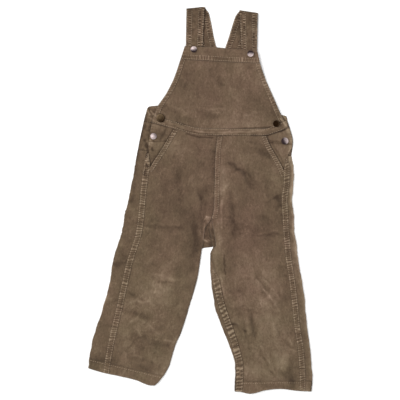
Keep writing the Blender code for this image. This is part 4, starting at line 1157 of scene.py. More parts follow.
def leg_back(leg):
    """Back panel: flat on the surface, and turned round the side fold as far as the seam.

    On the right leg it also turns round the inner fold, as far as the inseam.
    """
    floor_cells, arc_cells = 30, 10
    outer_cells = 20 if leg.side < 0 else 14
    inner_cells = 10 if leg.side > 0 else 0
    inner_arc = arc_cells if leg.side > 0 else 0
    ends = np.cumsum((inner_cells, inner_arc, floor_cells, arc_cells, outer_cells))
    columns = int(ends[-1])
    rows = 250

    def fold(t, x_edge, out):
        """Centre and radius of the fold at an outline x_edge."""
        y = leg.y(t, x_edge)
        radius = leg_top(x_edge - out * FRONT_TOP / 2.0, y) / 2.0
        radius = radius * mix(0.14, 1.0, ease(NOTCH, NOTCH + 1.3, t))
        return x_edge - out * radius, radius

    def returned(t, centre, radius, x_to, share, out, seed):
        """The stretch that lies on top: x, height and tone."""
        x = mix(centre, x_to, share)
        y = leg.y(t, x)
        name = "x_side" if out == leg.side else "x_in"
        sewn = puckers(leg.run(name, t), seed)
        ripple = (sewn - PUCKER_MEAN) * near(x - x_to, 7.0)
        z = mix(2.0 * radius, leg_top(x, y), ease(0.0, 0.5, share)) + 0.42 * ripple
        # puckers paler on their ridges and darker in their hollows, painted shade with dirt beside
        # the seam, and painted light along the side fold's edge
        tone = wear_and_painted_light(x, y) + 0.42 * ripple - 0.2 * near(x - x_to, 3.0)
        if out == leg.side:
            tone = tone + FOLD_RIM_LIGHT[out] * near(x - centre, 2.5)
        return x, z, tone

    def place(along, across):
        t = along * HEM_TOP * PANEL_SHY
        cell = across * columns
        x_out, x_back = leg.size("x_out", t), leg.size("x_back", t)
        side, inward = leg.side, -leg.side
        centre, radius = fold(t, x_out, side)
        turned = ease(NOTCH - 0.6, NOTCH, t)
        floor_out = mix(x_out, centre, turned)
        lapped = ease(INSEAM_TOP - 0.7, INSEAM_TOP - 1.1, t)
        floor_in = x_back + np.where(side < 0, BACK_LAP * lapped, 0.0)
        share = part_of(cell, ends[1], floor_cells)
        if inner_cells:
            centre_in, radius_in = fold(t, x_back, inward)
            starts = ease(INSEAM_TOP - RETURN_STARTS - 0.4, INSEAM_TOP - RETURN_STARTS, t)
            floor_in = mix(floor_in, centre_in, starts)
        x = mix(floor_in, floor_out, share)
        to_edge = np.minimum(share, 1.0 - share)
        lifted = back_rise(x, leg.y(t, x)) * ease(0.02, 0.12, to_edge)
        z = lifted
        if side > 0:
            z = z + (WALL + JOIN) * lapped * ease(BACK_LAP + 3.0, BACK_LAP + 1.0, x - x_back)
        fork = bell(t, 7.2, 2.3) * ease(40.0, 20.0, np.abs(x - FORK_X))
        y_floor = leg.y(t, x)
        beyond_side = side * (x - leg.size("x_side", t))
        open_side = ease(NOTCH + 0.6, NOTCH + 0.1, t) * ease(-6.0, -2.0, beyond_side)
        # painted shadow of the leg fronts at the fork, painted shade by the side opening's edge
        # with painted light a little further out, and painted light on the raised folds
        tone = -0.05 - 0.30 * open_side - 0.55 * fork + marks(x, y_floor)
        tone = tone + mix(0.2, 0.5, np.maximum(open_side, fork)) * waves(x, y_floor, 5.0, 17.0)
        under = np.maximum(beyond_side, 0.0)
        tone = tone + open_side * (0.5 * bell(under, 13.0, 5.0) - 0.8 * near(under, 3.5))
        tone = tone + 0.45 * lifted + 0.3 * (1.0 - fork) * waves(x, y_floor, 26.0, 21.0)
        u_shift = np.zeros(len(x))

        turn = math.pi * part_of(cell, ends[2], arc_cells)
        on_arc = turn > SMALL_TURN
        x = np.where(on_arc, centre + side * radius * np.sin(turn), x)
        z = np.where(on_arc, radius - radius * np.cos(turn), z)
        # on the fold's arc: painted light along the right fold's edge, which turns away from the
        # light
        tone = np.where(on_arc, -0.12 + FOLD_RIM_LIGHT[side] + wear_and_painted_light(x, leg.y(t, x)), tone)
        u_shift = np.where(on_arc, side * radius * (turn - np.sin(turn)), u_shift)
        share = (cell - ends[3]) / outer_cells
        x_to = leg.size("x_side", t) + side * JOIN / 2.0
        x_top, z_top, tone_top = returned(t, centre, radius, x_to, np.clip(share, 0.0, 1.0),
                                          side, 5.0 + side)
        on_top = share > SMALL_TURN
        x, z = np.where(on_top, x_top, x), np.where(on_top, z_top, z)
        tone = np.where(on_top, tone_top, tone)
        u_shift = np.where(on_top, 2.0 * (centre - x) + side * math.pi * radius, u_shift)

        if inner_cells:
            turn = math.pi * part_of(ends[1] - cell, 0.0, arc_cells)
            on_arc = turn > SMALL_TURN
            swell = mix(0.12, 1.0, ease(INSEAM_TOP - RETURN_STARTS, INSEAM_TOP + 0.2, t))
            x = np.where(on_arc, centre_in + inward * radius_in * swell * np.sin(turn), x)
            z = np.where(on_arc, swell * (radius_in - radius_in * np.cos(turn)), z)
            tone = np.where(on_arc, 0.1 + wear_and_painted_light(x, leg.y(t, x)), tone)
            share = (ends[0] - cell) / inner_cells
            x_to = leg.size("x_in", t) - side * JOIN / 2.0
            x_top, z_top, tone_top = returned(t, centre_in, radius_in, x_to,
                                              np.clip(share, 0.0, 1.0), inward, 8.0)
            on_top = share > SMALL_TURN
            x, z = np.where(on_top, x_top, x), np.where(on_top, swell * z_top, z)
            tone = np.where(on_top, tone_top + 0.25, tone)
        y = leg.y(t, x) - np.where(along == 0.0, JOIN / 2.0, 0.0)
        u, v = leg.grain_at(x, y)
        return x, y, z, u + u_shift, v, tone

    def drop(row, column):
        if leg.side > 0:
            column = columns - column
        if column > ends[2]:
            return row * HEM_TOP / rows < NOTCH
        return column < ends[1] and row * HEM_TOP / rows < INSEAM_TOP - RETURN_STARTS

    return panel("leg_back_" + leg.name, "corduroy_back", rows, columns, place, WALL, BACK_CLOTH,
                 leg.side, drop=drop)


def leg_hem(leg):
    """Turned-up hem: a flattened doubled ring round the leg's end."""
    ends = np.cumsum((HEM_TOP_CELLS, HEM_ARC_CELLS, HEM_FLOOR_CELLS))
    out = leg.side

    def place(along, across):
        t = mix(HEM_TOP, HEM_EDGE, along)
        cell = across * HEM_CELLS
        radius = FRONT_TOP / 2.0
        x_outer = leg.size("x_out", t) - out * radius
        x_inner = leg.size("x_back", t) + out * radius
        share = part_of(cell, 0.0, HEM_TOP_CELLS)
        x = mix(x_outer, x_inner, share)
        y = leg.y(t, x)
        run = np.abs(x - x_outer)
        rope = puckers(run + 5.0 * along, 15.0 + leg.side, 7.0) - PUCKER_MEAN
        crown = bell(along, 0.55, 0.42)
        z = leg_top(x, y) - 0.25 + 0.35 * crown + 0.3 * rope * bell(along, 0.2, 0.25)
        # the hem's tone: puckers of its rope, painted shade with dirt along its top edge and beside
        # its row of stitches, and paler along its folded edge
        worn_and_shaded = 0.12 + wear_and_painted_light(x, y) + 0.45 * rope * bell(along, 0.3, 0.35)
        worn_and_shaded = worn_and_shaded - 0.75 * bell(along, 0.0, 0.09) + 0.35 * bell(along, 1.0, 0.12)
        worn_and_shaded = worn_and_shaded - 0.35 * bell(along, 0.24, 0.05)
        u_run = run

        inner_top = leg_top(x_inner, leg.y(t, x_inner))
        turn = math.pi * part_of(cell, ends[0], HEM_ARC_CELLS)
        on_arc = cell > ends[0]
        x = np.where(on_arc, x_inner - out * radius * np.sin(turn), x)
        z = np.where(on_arc, inner_top / 2.0 * (1.0 + np.cos(turn)), z)
        u_run = np.where(on_arc, np.abs(x_inner - x_outer) + radius * turn, u_run)
        share = part_of(cell, ends[1], HEM_FLOOR_CELLS)
        on_floor = share > 0.0
        x = np.where(on_floor, mix(x_inner, x_outer, share), x)
        z = np.where(on_floor, 0.0, z)
        u_run = np.where(on_floor, u_run + np.abs(x - x_inner), u_run)
        outer_top = leg_top(x_outer, leg.y(t, x_outer))
        turn = math.pi * part_of(cell, ends[2], HEM_ARC_CELLS)
        on_arc = cell > ends[2]
        x = np.where(on_arc, x_outer + out * radius * np.sin(turn), x)
        z = np.where(on_arc, outer_top / 2.0 * (1.0 - np.cos(turn)), z)
        u_run = np.where(on_arc, u_run + radius * turn, u_run)
        y = leg.y(t, x)
        return x, y, z, u_run, HEM_DEPTH * along, worn_and_shaded

    return panel("leg_hem_" + leg.name, "corduroy_seams", 14, HEM_CELLS, place, DOUBLED,
                 SEAM_CLOTH, leg.side, closed=True)


FACING_SHY = 0.8           # how far the right facing stays inside the outline
FACING_TABS = {-1: (103.5, 103.0), 1: (101.0, 98.0)}   # y of the tab's lower edge: inner, outer


def tab_rise(leg, x, y):
    """Height of the tab that carries the lower hip button, over the rest of the facing."""
    x_mouth = np.interp(-y, [-v for v in leg.columns["y_out"][:5]], leg.columns["x_front"][:5])
    shown = ease(0.0, 3.0, leg.side * (x - x_mouth))
    inner, outer = FACING_TABS[leg.side]
    edge = mix(inner, outer, np.clip(leg.side * (x - x_mouth) / 25.0, 0.0, 1.0))
    return 0.55 * ease(edge - 0.8, edge + 0.8, y) * shown, edge


def pocket_facing(leg):
    """Cloth inside the pocket mouth: from the side opening to under the front panel."""
    end = POCKET_END + 0.3

    def place(along, across):
        t = along * end
        under = FACING_UNDER_SIDE * ease(NOTCH - 0.3, NOTCH + 0.3, t)
        outer = leg.size("x_side", t) + leg.side * under
        if leg.side > 0:
            outer = mix(outer, leg.size("x_out", t) - FACING_SHY, ease(NOTCH, NOTCH - 0.7, t))
        inner = leg.size("x_front", t) - leg.side * FACING_UNDER_FRONT
        x = mix(outer, inner, across)
        y = leg.y(t, x)
        rise, edge = tab_rise(leg, x, y)
        sewn = puckers(leg.run("x_side", t), 21.0 + leg.side)
        placket = near(x - outer, 5.0)
        z = FACING_TOP + rise + 0.25 * (sewn - PUCKER_MEAN) * placket + 0.12 * waves(x, y, 9.0, 4.0)
        # painted shadow under the tab's lower edge, puckers along the placket, and painted shade
        # with dirt at the facing's outer edge
        tab_shadow = bell(y, edge - 0.4, 1.3) * (rise < 0.5)
        tone = mix(0.12, 0.40, leg.side > 0) + wear_and_painted_light(x, y) - 1.1 * tab_shadow
        tone = tone + 1.3 * (sewn - PUCKER_MEAN) * placket - 0.5 * near(x - outer, 1.2)
        # painted shadow of the front's rolled edge over the pocket mouth
        from_mouth = np.maximum(leg.side * (x - leg.size("x_front", t)), 0.0)
        tone = tone - 1.3 * near(from_mouth, 1.4) - 0.5 * near(from_mouth, 6.0)
        u, v = leg.grain_at(x, y)
        return x, y, z, u, v, tone

    return panel("pocket_facing_" + leg.name, "corduroy", 70, 28, place, WALL, FRONT_CLOTH,
                 leg.side)


# ---- felled seams and hems on the legs ----
def strip_on_leg(node, leg, name, first, last, width, offset, rows, seed, taper=0.0, **look):
    """A felled strip that follows a seam of a leg. offset is its outer edge's, from the seam."""

    def edges(along):
        t = mix(first, last, along)
        spared = taper * width / 2.0 * ease(0.06, 0.0, along)
        x0 = leg.size(name, t) + offset + spared
        x1 = leg.size(name, t) + offset + width - spared
        return x0, leg.y(t, x0), x1, leg.y(t, x1)

    def run(along):
        return leg.run(name, mix(first, last, along))

    place = felled(edges, leg_top, run, seed, **look)
    return panel(node, "corduroy_seams", rows, 16, place, FELL_WALL, SEAM_CLOTH)


# ---- bib, bodice and band ----
class Upper:
    """The bib or the bodice, by its rows: the rows below bow_from bend to the waist seam."""

    def __init__(self, table, bow_from):
        self.table = table
        self.end = len(table) - 1
        self.bow_from = bow_from

    def corners(self, t):
        stations = range(self.end + 1)
        return [through(stations, [row[k] for row in self.table], t) for k in range(4)]

    def plan(self, t, across):
        """x, y at shares of the way across rows t."""
        y_left, x_left, y_right, x_right = self.corners(t)
        last = self.table[-1]
        x, y = mix(x_left, x_right, across), mix(y_left, y_right, across)
        share = (x - last[1]) / (last[3] - last[1])
        bow = np.maximum((t - self.bow_from) / (self.end - self.bow_from), 0.0) ** 1.6
        return x, y + bow * (waist_y(x) - mix(last[0], last[2], share))


BIB_PANEL = Upper(BIB, 1.0)
BODICE_PANEL = Upper(BODICE, 3.0)


def bib_front():
    """Front bib panel, from its hem's foot to the waist seam."""

    def place(along, across):
        x, y = BIB_PANEL.plan(mix(BIB_HEM_ROW + 0.002, BIB_PANEL.end, along), across)
        y = y + np.where(along == 1.0, JOIN / 2.0, 0.0)
        left, right = bib_edges_at_y(y)
        sewn = puckers(y, 25.0)
        ripple = (sewn - PUCKER_MEAN) * (near(x - left, 9.0) + near(x - right, 9.0))
        down, up = along * BIB_LENGTH, (1.0 - along) * BIB_LENGTH
        top = 0.5 * (puckers(x, 27.0) - PUCKER_MEAN) * near(down, 6.0)
        z = bib_top(x, y) + 0.35 * ripple + 0.35 * top - 0.35 * near(down, 1.5)
        # puckers paler on their ridges and darker in their hollows, painted shade with dirt under
        # the top hem's foot, and a line of painted shade along the waist band's upper edge
        tone = wear_and_painted_light(x, y) + 0.4 * ripple + 0.6 * top - 0.45 * near(down, 1.6)
        tone = tone - 0.35 * near(up, 13.0) * bell(along, 0.9, 0.02)
        return x, y, z, x, y, tone

    return panel("bib_front", "corduroy", 110, 180, place, WALL, FRONT_CLOTH)


def bib_hem():
    """Doubled top edge of the bib, stitched down along its foot."""

    def place(along, across):
        x, y = BIB_PANEL.plan(along * BIB_HEM_ROW, across)
        y = y + 1.4 * bell(x, 24.0, 18.0) * (1.0 - along)
        drawn = 0.2 + 0.8 * (bell(x, 7.0, 16.0) + bell(x, 76.0, 17.0))
        drawn = drawn + 0.3 * waves(x, 0.0, 24.0, 6.0)
        sewn = puckers(x, 27.0, 5.0) * np.clip(drawn, 0.1, 1.0)
        ladder = (sewn - 0.3) * ease(0.58, 0.68, along) * ease(0.98, 0.9, along)
        left, right = bib_edges_at_y(y)
        at_side = near(np.minimum(np.abs(x - left), np.abs(right - x)), 5.0)
        gathered = puckers(y, 28.0)
        z = bib_top(x, y) + 0.45 * ladder - 0.5 * near(along, 0.05)
        z = z - 0.3 * near(1.0 - along, 0.05) + 0.25 * (gathered - PUCKER_MEAN) * at_side
        # ladder puckers paler on their ridges and darker between them, painted shade with dirt
        # along its foot, a little darker along its top edge, and its gathers at the sides
        tone = 0.04 + wear_and_painted_light(x, y) + 2.5 * ladder - 0.8 * bell(along, 1.0, 0.05)
        tone = tone - 0.12 * near(along, 0.07) + 1.6 * (gathered - 0.35) * at_side
        return x, y, z, x, y, tone

    return panel("bib_hem", "corduroy_seams", 28, 170, place, DOUBLED, SEAM_CLOTH)


def armhole_hem(side):
    """Narrow double-stitched edge along one side of the bib."""
    first, last = BIB_HEM_ROW + 0.02, BIB_PANEL.end - (0.75 if side < 0 else 0.95)

    def edges(along):
        t = mix(first, last, along)
        _, x_left, _, x_right = BIB_PANEL.corners(t)
        share = ARMHOLE_HEM_WIDTH / (x_right - x_left)
        near = 0.1 / (x_right - x_left)
        first_edge, second_edge = (near, share) if side < 0 else (1.0 - share, 1.0 - near)
        return *BIB_PANEL.plan(t, first_edge), *BIB_PANEL.plan(t, second_edge)

    name = "armhole_hem_left" if side < 0 else "armhole_hem_right"
    place = felled(edges, bib_top, lambda along: along * ARMHOLE_LENGTH, 41.0 + side,
                   base=0.12 if side < 0 else 0.40)
    return panel(name, "corduroy_seams", 110, 10, place, FELL_WALL, SEAM_CLOTH)


def back_bodice():
    """Back panel with the two side wings, flat on the surface."""

    def place(along, across):
        x, y = BODICE_PANEL.plan(along * BODICE_PANEL.end, across)
        y = y + np.where(along == 1.0, JOIN / 2.0, 0.0)
        rim = bell(along, 0.70, 0.05) + bell(across, 0.0, 0.03) + bell(across, 1.0, 0.03)
        rim = np.minimum(rim, 1.0)
        sewn = (puckers(x + y, 33.0, 4.2) - PUCKER_MEAN) * rim
        # puckers along its edges, painted shade where it runs in under the waist band, and painted
        # light on its raised folds
        tone = -0.25 + wear_and_painted_light(x, y, 0.7) + 1.6 * sewn - 0.5 * near(1.0 - along, 0.02)
        inside = ease(0.0, 0.1, np.minimum(across, 1.0 - across)) * ease(1.0, 0.9, along)
        lifted = back_rise(x, y) * inside
        tone = tone + 0.35 * lifted
        z = WALL + lifted + np.maximum(MARK_RISE * marks(x, y) + 0.3 * sewn, 0.0)
        return x, y, z, x, y, tone

    return panel("back_bodice", "corduroy_back", 110, 150, place, WALL, BACK_CLOTH)


def waist_band():
    """Narrow band over the waist seam, between the two side openings."""
    x0, x1 = WAIST_SEAM[0][0] + 0.5, WAIST_SEAM[-1][0] - 0.5

    def edges(along):
        x = mix(x0, x1, along)
        tilt = (waist_y(x + 4.0) - waist_y(x - 4.0)) / 8.0
        y = waist_y(x)
        foot_x, foot_y = x + WAIST_BAND_DROP * tilt, y - WAIST_BAND_DROP
        head_x, head_y = x - WAIST_BAND_RISE * tilt, y + WAIST_BAND_RISE
        return foot_x, foot_y, head_x, head_y

    place = felled(edges, band_top, lambda along: along * WAIST_LENGTH, 45.0,
                   base=0.12, rungs=0.22, pitch=3.6, sewn=(0.2, 0.86))
    return panel("waist_band", "corduroy_seams", 240, 12, place, FELL_WALL, SEAM_CLOTH)


# ---- straps ----
def two_rows(inward, run, rim_puckers, seed):
    """Puckers at a strap's edge and at its inner row of stitches, from 0 at the edge inward."""
    rim = ease(0.13, 0.08, inward)
    inner = ease(0.15, 0.19, inward) * ease(0.33, 0.27, inward)
    drawn = puckers(run + 1.1, seed + 0.7, STRAP_PUCKER_PITCH)
    return (np.sqrt(rim_puckers) - 0.6) * rim + (np.sqrt(drawn) - 0.6) * inner


def strap(name, plan):
    """A strap from the bodice to its fold at the shoulder and back under the bib."""
    back_rows, arc_rows, front_rows = 120, 20, 160
    rows = back_rows + arc_rows + front_rows
    low = DOUBLED / 2.0
    fold = plan["fold"]
    span = math.hypot(fold[2] - fold[0], fold[3] - fold[1])
    outward = (-(fold[3] - fold[1]) / span, (fold[2] - fold[0]) / span)
    reach = STRAP_RADIUS + low

    def place(along, across):
        row = (1.0 - along) * rows
        share_back = part_of(row, 0.0, back_rows)
        turn = math.pi * part_of(row, back_rows, arc_rows)
        share_front = part_of(row, back_rows + arc_rows, front_rows)
        push = STRAP_RADIUS * np.sin(turn) - reach
        rounded = [fold[k] + outward[k % 2] * push for k in range(4)]
        swing = plan["bow"] * pairs(STRAP_BOW, share_back)
        line = []
        for k in range(4):
            back = mix(plan["bodice"][k], rounded[k], share_back) + (swing if k % 2 == 0 else 0.0)
            line.append(mix(back, plan["end"][k], share_front))
        x, y = mix(line[0], line[2], across), mix(line[1], line[3], across)
        z = low + STRAP_RADIUS * (1.0 - np.cos(turn))
        z = np.where(share_front > 0.0, pairs(STRAP_SETTLE, share_front), z)
        run = y * np.where(row > back_rows + arc_rows / 2.0, 1.0, -1.0) + 700.0
        on_front = ease(back_rows + 4.0, back_rows + 14.0, row)
        seeds = (51.0, 53.0) if name == "strap_left" else (55.0, 57.0)
        left, right = (puckers(run, seed, STRAP_PUCKER_PITCH) for seed in seeds)
        ripple = two_rows(across, run, left, seeds[0])
        ripple = ripple + two_rows(1.0 - across, run, right, seeds[1])
        lifted = np.where(on_front > 0.5, -1.0, 1.0)
        z = z + 0.24 * ripple * lifted + 0.12 * on_front * waves(x, y, 16.0, 7.0)
        z = np.maximum(z, low)
        scallop = 0.55 * (left - 0.5) * ease(0.1, 0.0, across)
        scallop = scallop - 0.55 * (right - 0.5) * ease(0.9, 1.0, across)
        # painted shade: the back darker toward the fold, inside it, and darkest beside the front's
        # edge as the front's painted shadow; puckers paler on their ridges and darker in their
        # hollows
        tone_front = 0.22 - 0.5 * bell(share_front, 0.0, 0.28)
        tone = mix(mix(0.0, -0.9, share_back ** 2), tone_front, on_front)
        tone = tone + mix(4.0, 5.2, on_front) * ripple
        crossed = np.clip((fold[1] - y) / (fold[1] - plan["end"][1]), 0.0, 1.0)
        if name == "strap_left":
            beside, shade = x - mix(fold[2], plan["end"][2], crossed), 1.5
        else:
            beside, shade = mix(fold[0], plan["end"][0], crossed) - x, 0.6
        tone = tone - (1.0 - on_front) * shade * near(np.maximum(beside, 0.0), 1.3)
        tone = tone - 0.25 * ease(0.24, 0.34, across) * ease(0.76, 0.66, across)
        tone = tone - 0.6 * (bell(across, 0.33, 0.02) + bell(across, 0.67, 0.02))
        rims = bell(across, 0.02, 0.04) + bell(across, 0.98, 0.04)
        tone = tone + mix(1.9, 0.2, on_front) * rims
        tone = tone + 0.30 * waves(x, y, 14.0, 8.0) + 0.35 * waves(x, y, 5.0, 18.0)
        return x - scallop, y, z, STRAP_WIDTH * across, run, tone

    return panel(name, "corduroy", rows, 36, place, DOUBLED, FRONT_CLOTH, grows=0.0)


# ---- buttons ----
BUTTON_SEGMENTS = 40
BUTTON_LEAN = 4.0          # degrees that a button tips on its shank
# turned profile of a button of diameter 1: radius, height, tone
SILVER_PROFILE = (
    (0.0, 0.290, 0.3), (0.08, 0.289, 0.3), (0.16, 0.283, 0.3), (0.24, 0.268, 0.2),
    (0.31, 0.245, 0.1), (0.36, 0.222, -0.2), (0.385, 0.205, -0.6), (0.40, 0.203, -0.6),
    (0.42, 0.212, 0.1), (0.445, 0.214, 0.4), (0.47, 0.200, 0.3), (0.492, 0.170, 0.0),
    (0.50, 0.130, -0.4), (0.49, 0.090, -0.8), (0.45, 0.065, -1.0), (0.24, 0.045, -1.0),
    (0.20, 0.030, -1.0), (0.20, 0.0, -1.0), (0.0, 0.0, -1.0),
)
BRONZE_PROFILE = (
    (0.0, 0.196, 0.2), (0.06, 0.196, 0.2), (0.12, 0.192, 0.1), (0.17, 0.184, -0.1),
    (0.20, 0.176, -0.5), (0.22, 0.176, -0.5), (0.28, 0.184, -0.2), (0.35, 0.190, 0.0),
    (0.41, 0.192, 0.2), (0.45, 0.188, 0.2), (0.475, 0.176, 0.0), (0.495, 0.155, -0.2),
    (0.50, 0.120, -0.6), (0.485, 0.085, -0.8), (0.44, 0.060, -1.0), (0.24, 0.045, -1.0),
    (0.20, 0.030, -1.0), (0.20, 0.0, -1.0), (0.0, 0.0, -1.0),
)


def button(name, x, y, diameter, carrier, metal, rubbed, shift):
    """A metal button, turned about its own axis: high in silver, low in bronze."""
    profile = SILVER_PROFILE if metal == "antique_silver" else BRONZE_PROFILE
    at_x, at_y = np.array([x]), np.array([y])
    leg = LEGS[0] if x < 0.0 else LEGS[1]
    seat = {
        "bib": lambda: bib_top(at_x, at_y)[0] + 0.25,
        "band": lambda: band_top(at_x, at_y)[0] + FELL_FOOT + FELL_CROWN,
        "facing": lambda: FACING_TOP + tab_rise(leg, at_x, at_y)[0][0] + 0.1,
    }[carrier]()
    bm = bmesh.new()
    tone = bm.verts.layers.float.new("tone")
    ring = []
    for radius, height, value in profile:
        vert = bm.verts.new((radius * diameter * MM, 0.0, height * diameter * MM))
        vert[tone] = value
        ring.append(vert)
    edges = [bm.edges.new(ends) for ends in zip(ring, ring[1:])]
    bmesh.ops.spin(bm, geom=ring + edges, cent=(0.0, 0.0, 0.0), axis=(0.0, 0.0, 1.0),
                   angle=2.0 * math.pi, steps=BUTTON_SEGMENTS, use_merge=True)
    bmesh.ops.remove_doubles(bm, verts=bm.verts, dist=0.000005)
    bmesh.ops.recalc_face_normals(bm, faces=bm.faces)
    # painted reflection: each button lighter toward one side and darker toward the other, with its
    # tone shifted as a whole
    for vert in bm.verts:
        toward_lit_side = vert.co.x * rubbed[0] + vert.co.y * rubbed[1]
        toward_lit_side = toward_lit_side / (diameter * MM / 2.0) + shift
        vert[tone] = 0.5 * vert[tone] + max(min(toward_lit_side, 1.2), -1.2)
    lean = Matrix.Rotation(math.radians(BUTTON_LEAN), 4, Vector((0.6, -0.8, 0.0)))
    seated = Matrix.Translation((x * MM, y * MM, seat * MM)) @ lean
    bmesh.ops.transform(bm, matrix=seated, verts=bm.verts)
    mesh = new_mesh(name + "_metal", bm)
    mesh.shade_smooth()
    piece = add_piece(name + "_metal", mesh, METALS[metal])
    return stands_for(piece, name, metal)


# ---- dressing the frame ----
def sheet(made, flat, area=None):
    """Turns a piece's flat size and area from millimetres into metres, and does nothing more with
    them.
    """
    flat = (flat[0] * MM, flat[1] * MM)
    area = None if area is None else area * MM * MM


def along_strip(made, shares=(0.16, 0.84)):
    """Rows of stitches along a whole strip, at shares of its width."""
    return [(made[1], (0.0, a), (1.0, a), STITCH_LIFT) for a in shares]


def strap_stitches(place):
    """Rows of stitches along a strap, on the front and on the back of its fold."""
    lift = DOUBLED / 2.0 + STITCH_LIFT
    front = [(place, (0.02, a), (0.52, a), -lift) for a in STRAP_ROWS]
    return front + [(place, (0.63, a), (0.99, a), lift) for a in STRAP_ROWS]


def dress():
    bodice = back_bodice()
    made = {}
    for leg in LEGS:
        made["back", leg.name] = leg_back(leg)
        made["front", leg.name] = leg_front(leg)
        made["hem", leg.name] = leg_hem(leg)
        made["facing", leg.name] = pocket_facing(leg)
        made["side", leg.name] = strip_on_leg(
            "side_seam_" + leg.name, leg, "x_side", NOTCH + 0.12, HEM_EDGE - 0.06,
            SIDE_SEAM_WIDTH, -SIDE_SEAM_WIDTH / 2.0, 640, 5.0 + leg.side, base=0.05, rungs=1.4,
            rims=(0.7, 0.7), rails=1.0, pitch=4.7 if leg.side < 0 else 4.2, taper=0.7)
        mouth = -leg.side * POCKET_HEM_WIDTH / 2.0 - POCKET_HEM_WIDTH / 2.0
        made["mouth", leg.name] = strip_on_leg(
            "pocket_hem_" + leg.name, leg, "x_front", 0.12, POCKET_END - 0.45, POCKET_HEM_WIDTH,
            mouth, 170, 61.0 + leg.side, base=0.2, rungs=1.4, rails=0.6, pitch=3.9)
    right = LEGS[1]
    inseam = strip_on_leg(
        "inseam_right", right, "x_in", INSEAM_TOP + 0.6, HEM_EDGE - 0.06, INSEAM_WIDTH,
        -0.66 * INSEAM_WIDTH, 300, 71.0, base=0.38, rungs=2.1, rims=(1.1, 1.7), rails=0.5,
        pitch=7.0, slant=3.6, fade=0.16, taper=0.8)
    centre = strip_on_leg(
        "centre_front_seam", right, "x_in", 0.12, CROTCH - 0.05, CENTRE_SEAM_WIDTH, 0.1, 170,
        81.0, base=0.22, rungs=0.9, rims=(0.0, 0.15), pitch=3.9)
    bib = bib_front()
    top_hem = bib_hem()
    armholes = [armhole_hem(side) for side in (-1, 1)]
    band = waist_band()
    straps = {name: strap(name, plan) for name, plan in STRAPS.items()}

    for name, row in BUTTONS.items():
        button(name, *row)

    stitches = {}
    for leg in LEGS:
        for kind, title in (("side", "side"), ("mouth", "pocket")):
            rows = along_strip(made[kind, leg.name])
            stitches[kind, leg.name] = stitch_rows("stitches_" + title + "_" + leg.name, rows)
        start, end = (0.2, 0.0), (0.2, HEM_TOP_CELLS / HEM_CELLS)
        rows = [(made["hem", leg.name][1], start, end, STITCH_LIFT)]
        stitches["hem", leg.name] = stitch_rows("stitches_hem_" + leg.name, rows)
    stitches["inseam"] = stitch_rows("stitches_inseam", along_strip(inseam))
    stitches["centre"] = stitch_rows("stitches_centre", along_strip(centre, (0.18, 0.84)))
    stitches["band"] = stitch_rows("stitches_waist_band", along_strip(band, (0.14, 0.86)))
    rows = [(top_hem[1], (a, 0.01), (a, 0.99), STITCH_LIFT) for a in (0.68, 0.93)]
    stitches["bib"] = stitch_rows("stitches_bib_hem", rows)
    rows = along_strip(armholes[0]) + along_strip(armholes[1])
    stitches["armholes"] = stitch_rows("stitches_armholes", rows)
    for name, (_, place) in straps.items():
        stitches[name] = stitch_rows("stitches_" + name, strap_stitches(place))

    sheet(bodice, (265.0, 124.0), area=19200.0)
    for leg in LEGS:
        width, length = (146.0, 440.0) if leg.side < 0 else (128.0, 446.0)
        trims = [made[kind, leg.name][0] for kind in ("side", "mouth")]
        trims += [stitches[kind, leg.name] for kind in ("side", "mouth")]
        if leg.side > 0:
            trims += [inseam[0], centre[0], stitches["inseam"], stitches["centre"]]
        sheet(made["front", leg.name], (width, length),
              area=0.86 * width * length)
        sheet(made["back", leg.name], (195.0, 445.0),
              area=0.84 * 195.0 * 445.0)
        sheet(made["hem", leg.name], (250.0, 35.0),
              area=0.5 * 250.0 * 35.0)
        sheet(made["facing", leg.name], (55.0, 95.0), area=0.62 * 55.0 * 95.0)
    sheet(bib, (238.0, 126.0),
          area=0.76 * 238.0 * 126.0)
    sheet(top_hem, (142.0, 50.0),
          area=0.46 * 142.0 * 50.0)
    sheet(band, (245.0, 15.0))
    for name, made_strap in straps.items():
        sheet(made_strap, (60.0, 212.0),
              area=0.5 * 60.0 * 212.0)


dress()


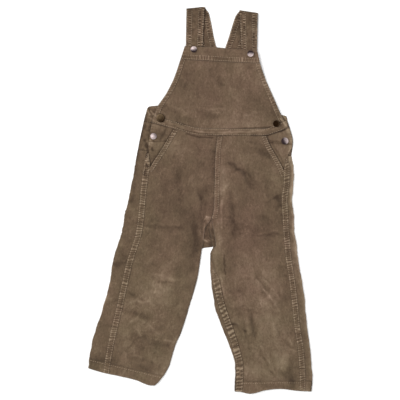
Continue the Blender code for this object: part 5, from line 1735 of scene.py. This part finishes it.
# ---- floor, light and camera: lengths here are metres ----
TABLE_HALF = 3.0
TABLE_DROP = 0.0003        # below the garment's underside
WORLD_STRENGTH = 0.53
LIGHTS = (                 # name, place, size, power
    ("key", (-1.25, 0.5, 1.6), 2.0, 48.0),
    ("fill", (1.3, -0.7, 1.5), 1.8, 17.0),
)
SEEN_WIDTH = 0.700         # of the table, across the picture
FOCUS_HEIGHT = 0.0045      # half the garment's thickness
LENS, SENSOR_WIDTH, CLIP_END = 100.0, 36.0, 20.0


def area_light(name, place, size, power):
    """A round soft light, aimed at the origin."""
    light = bpy.data.lights.new(name, "AREA")
    light.shape = "DISK"
    light.size = size
    light.energy = power
    made = bpy.data.objects.new(name, light)
    made.location = place
    made.rotation_euler = (-Vector(place)).to_track_quat("-Z", "Y").to_euler()
    bpy.context.scene.collection.objects.link(made)


def studio():
    """A plain white table, soft light, more of it from the upper left, and a camera overhead."""
    bm = bmesh.new()
    bmesh.ops.create_grid(bm, x_segments=1, y_segments=1, size=TABLE_HALF)
    bmesh.ops.translate(bm, vec=(0.0, 0.0, -TABLE_DROP), verts=bm.verts)
    mesh = new_mesh("table", bm)
    surface, tree, shader = new_material("table_white", {"Roughness": 0.9})
    speckle = cloud(tree, object_place(tree), 8.0)
    shade = scaled(tree, speckle, 0.01, 0.5)
    pale = tuple(0.985 * c for c in FLOOR)
    tree.links.new(ramp(tree, shade, ((0.0, pale), (1.0, FLOOR))), shader.inputs["Base Color"])
    table = bpy.data.objects.new("table", mesh)
    mesh.materials.append(surface)
    bpy.context.scene.collection.objects.link(table)

    world = bpy.data.worlds.new("studio")
    world.use_nodes = True
    background = world.node_tree.nodes["Background"]
    background.inputs["Color"].default_value = (1.0, 1.0, 1.0, 1.0)
    background.inputs["Strength"].default_value = WORLD_STRENGTH
    bpy.context.scene.world = world
    for light in LIGHTS:
        area_light(*light)

    camera = bpy.data.cameras.new("overhead")
    camera.lens = LENS
    camera.sensor_width = SENSOR_WIDTH
    camera.clip_end = CLIP_END
    made = bpy.data.objects.new("overhead", camera)
    made.location = (0.0, 0.0, FOCUS_HEIGHT + SEEN_WIDTH * LENS / SENSOR_WIDTH)
    bpy.context.scene.collection.objects.link(made)
    bpy.context.scene.camera = made
    bpy.context.scene.view_settings.view_transform = "Standard"


studio()
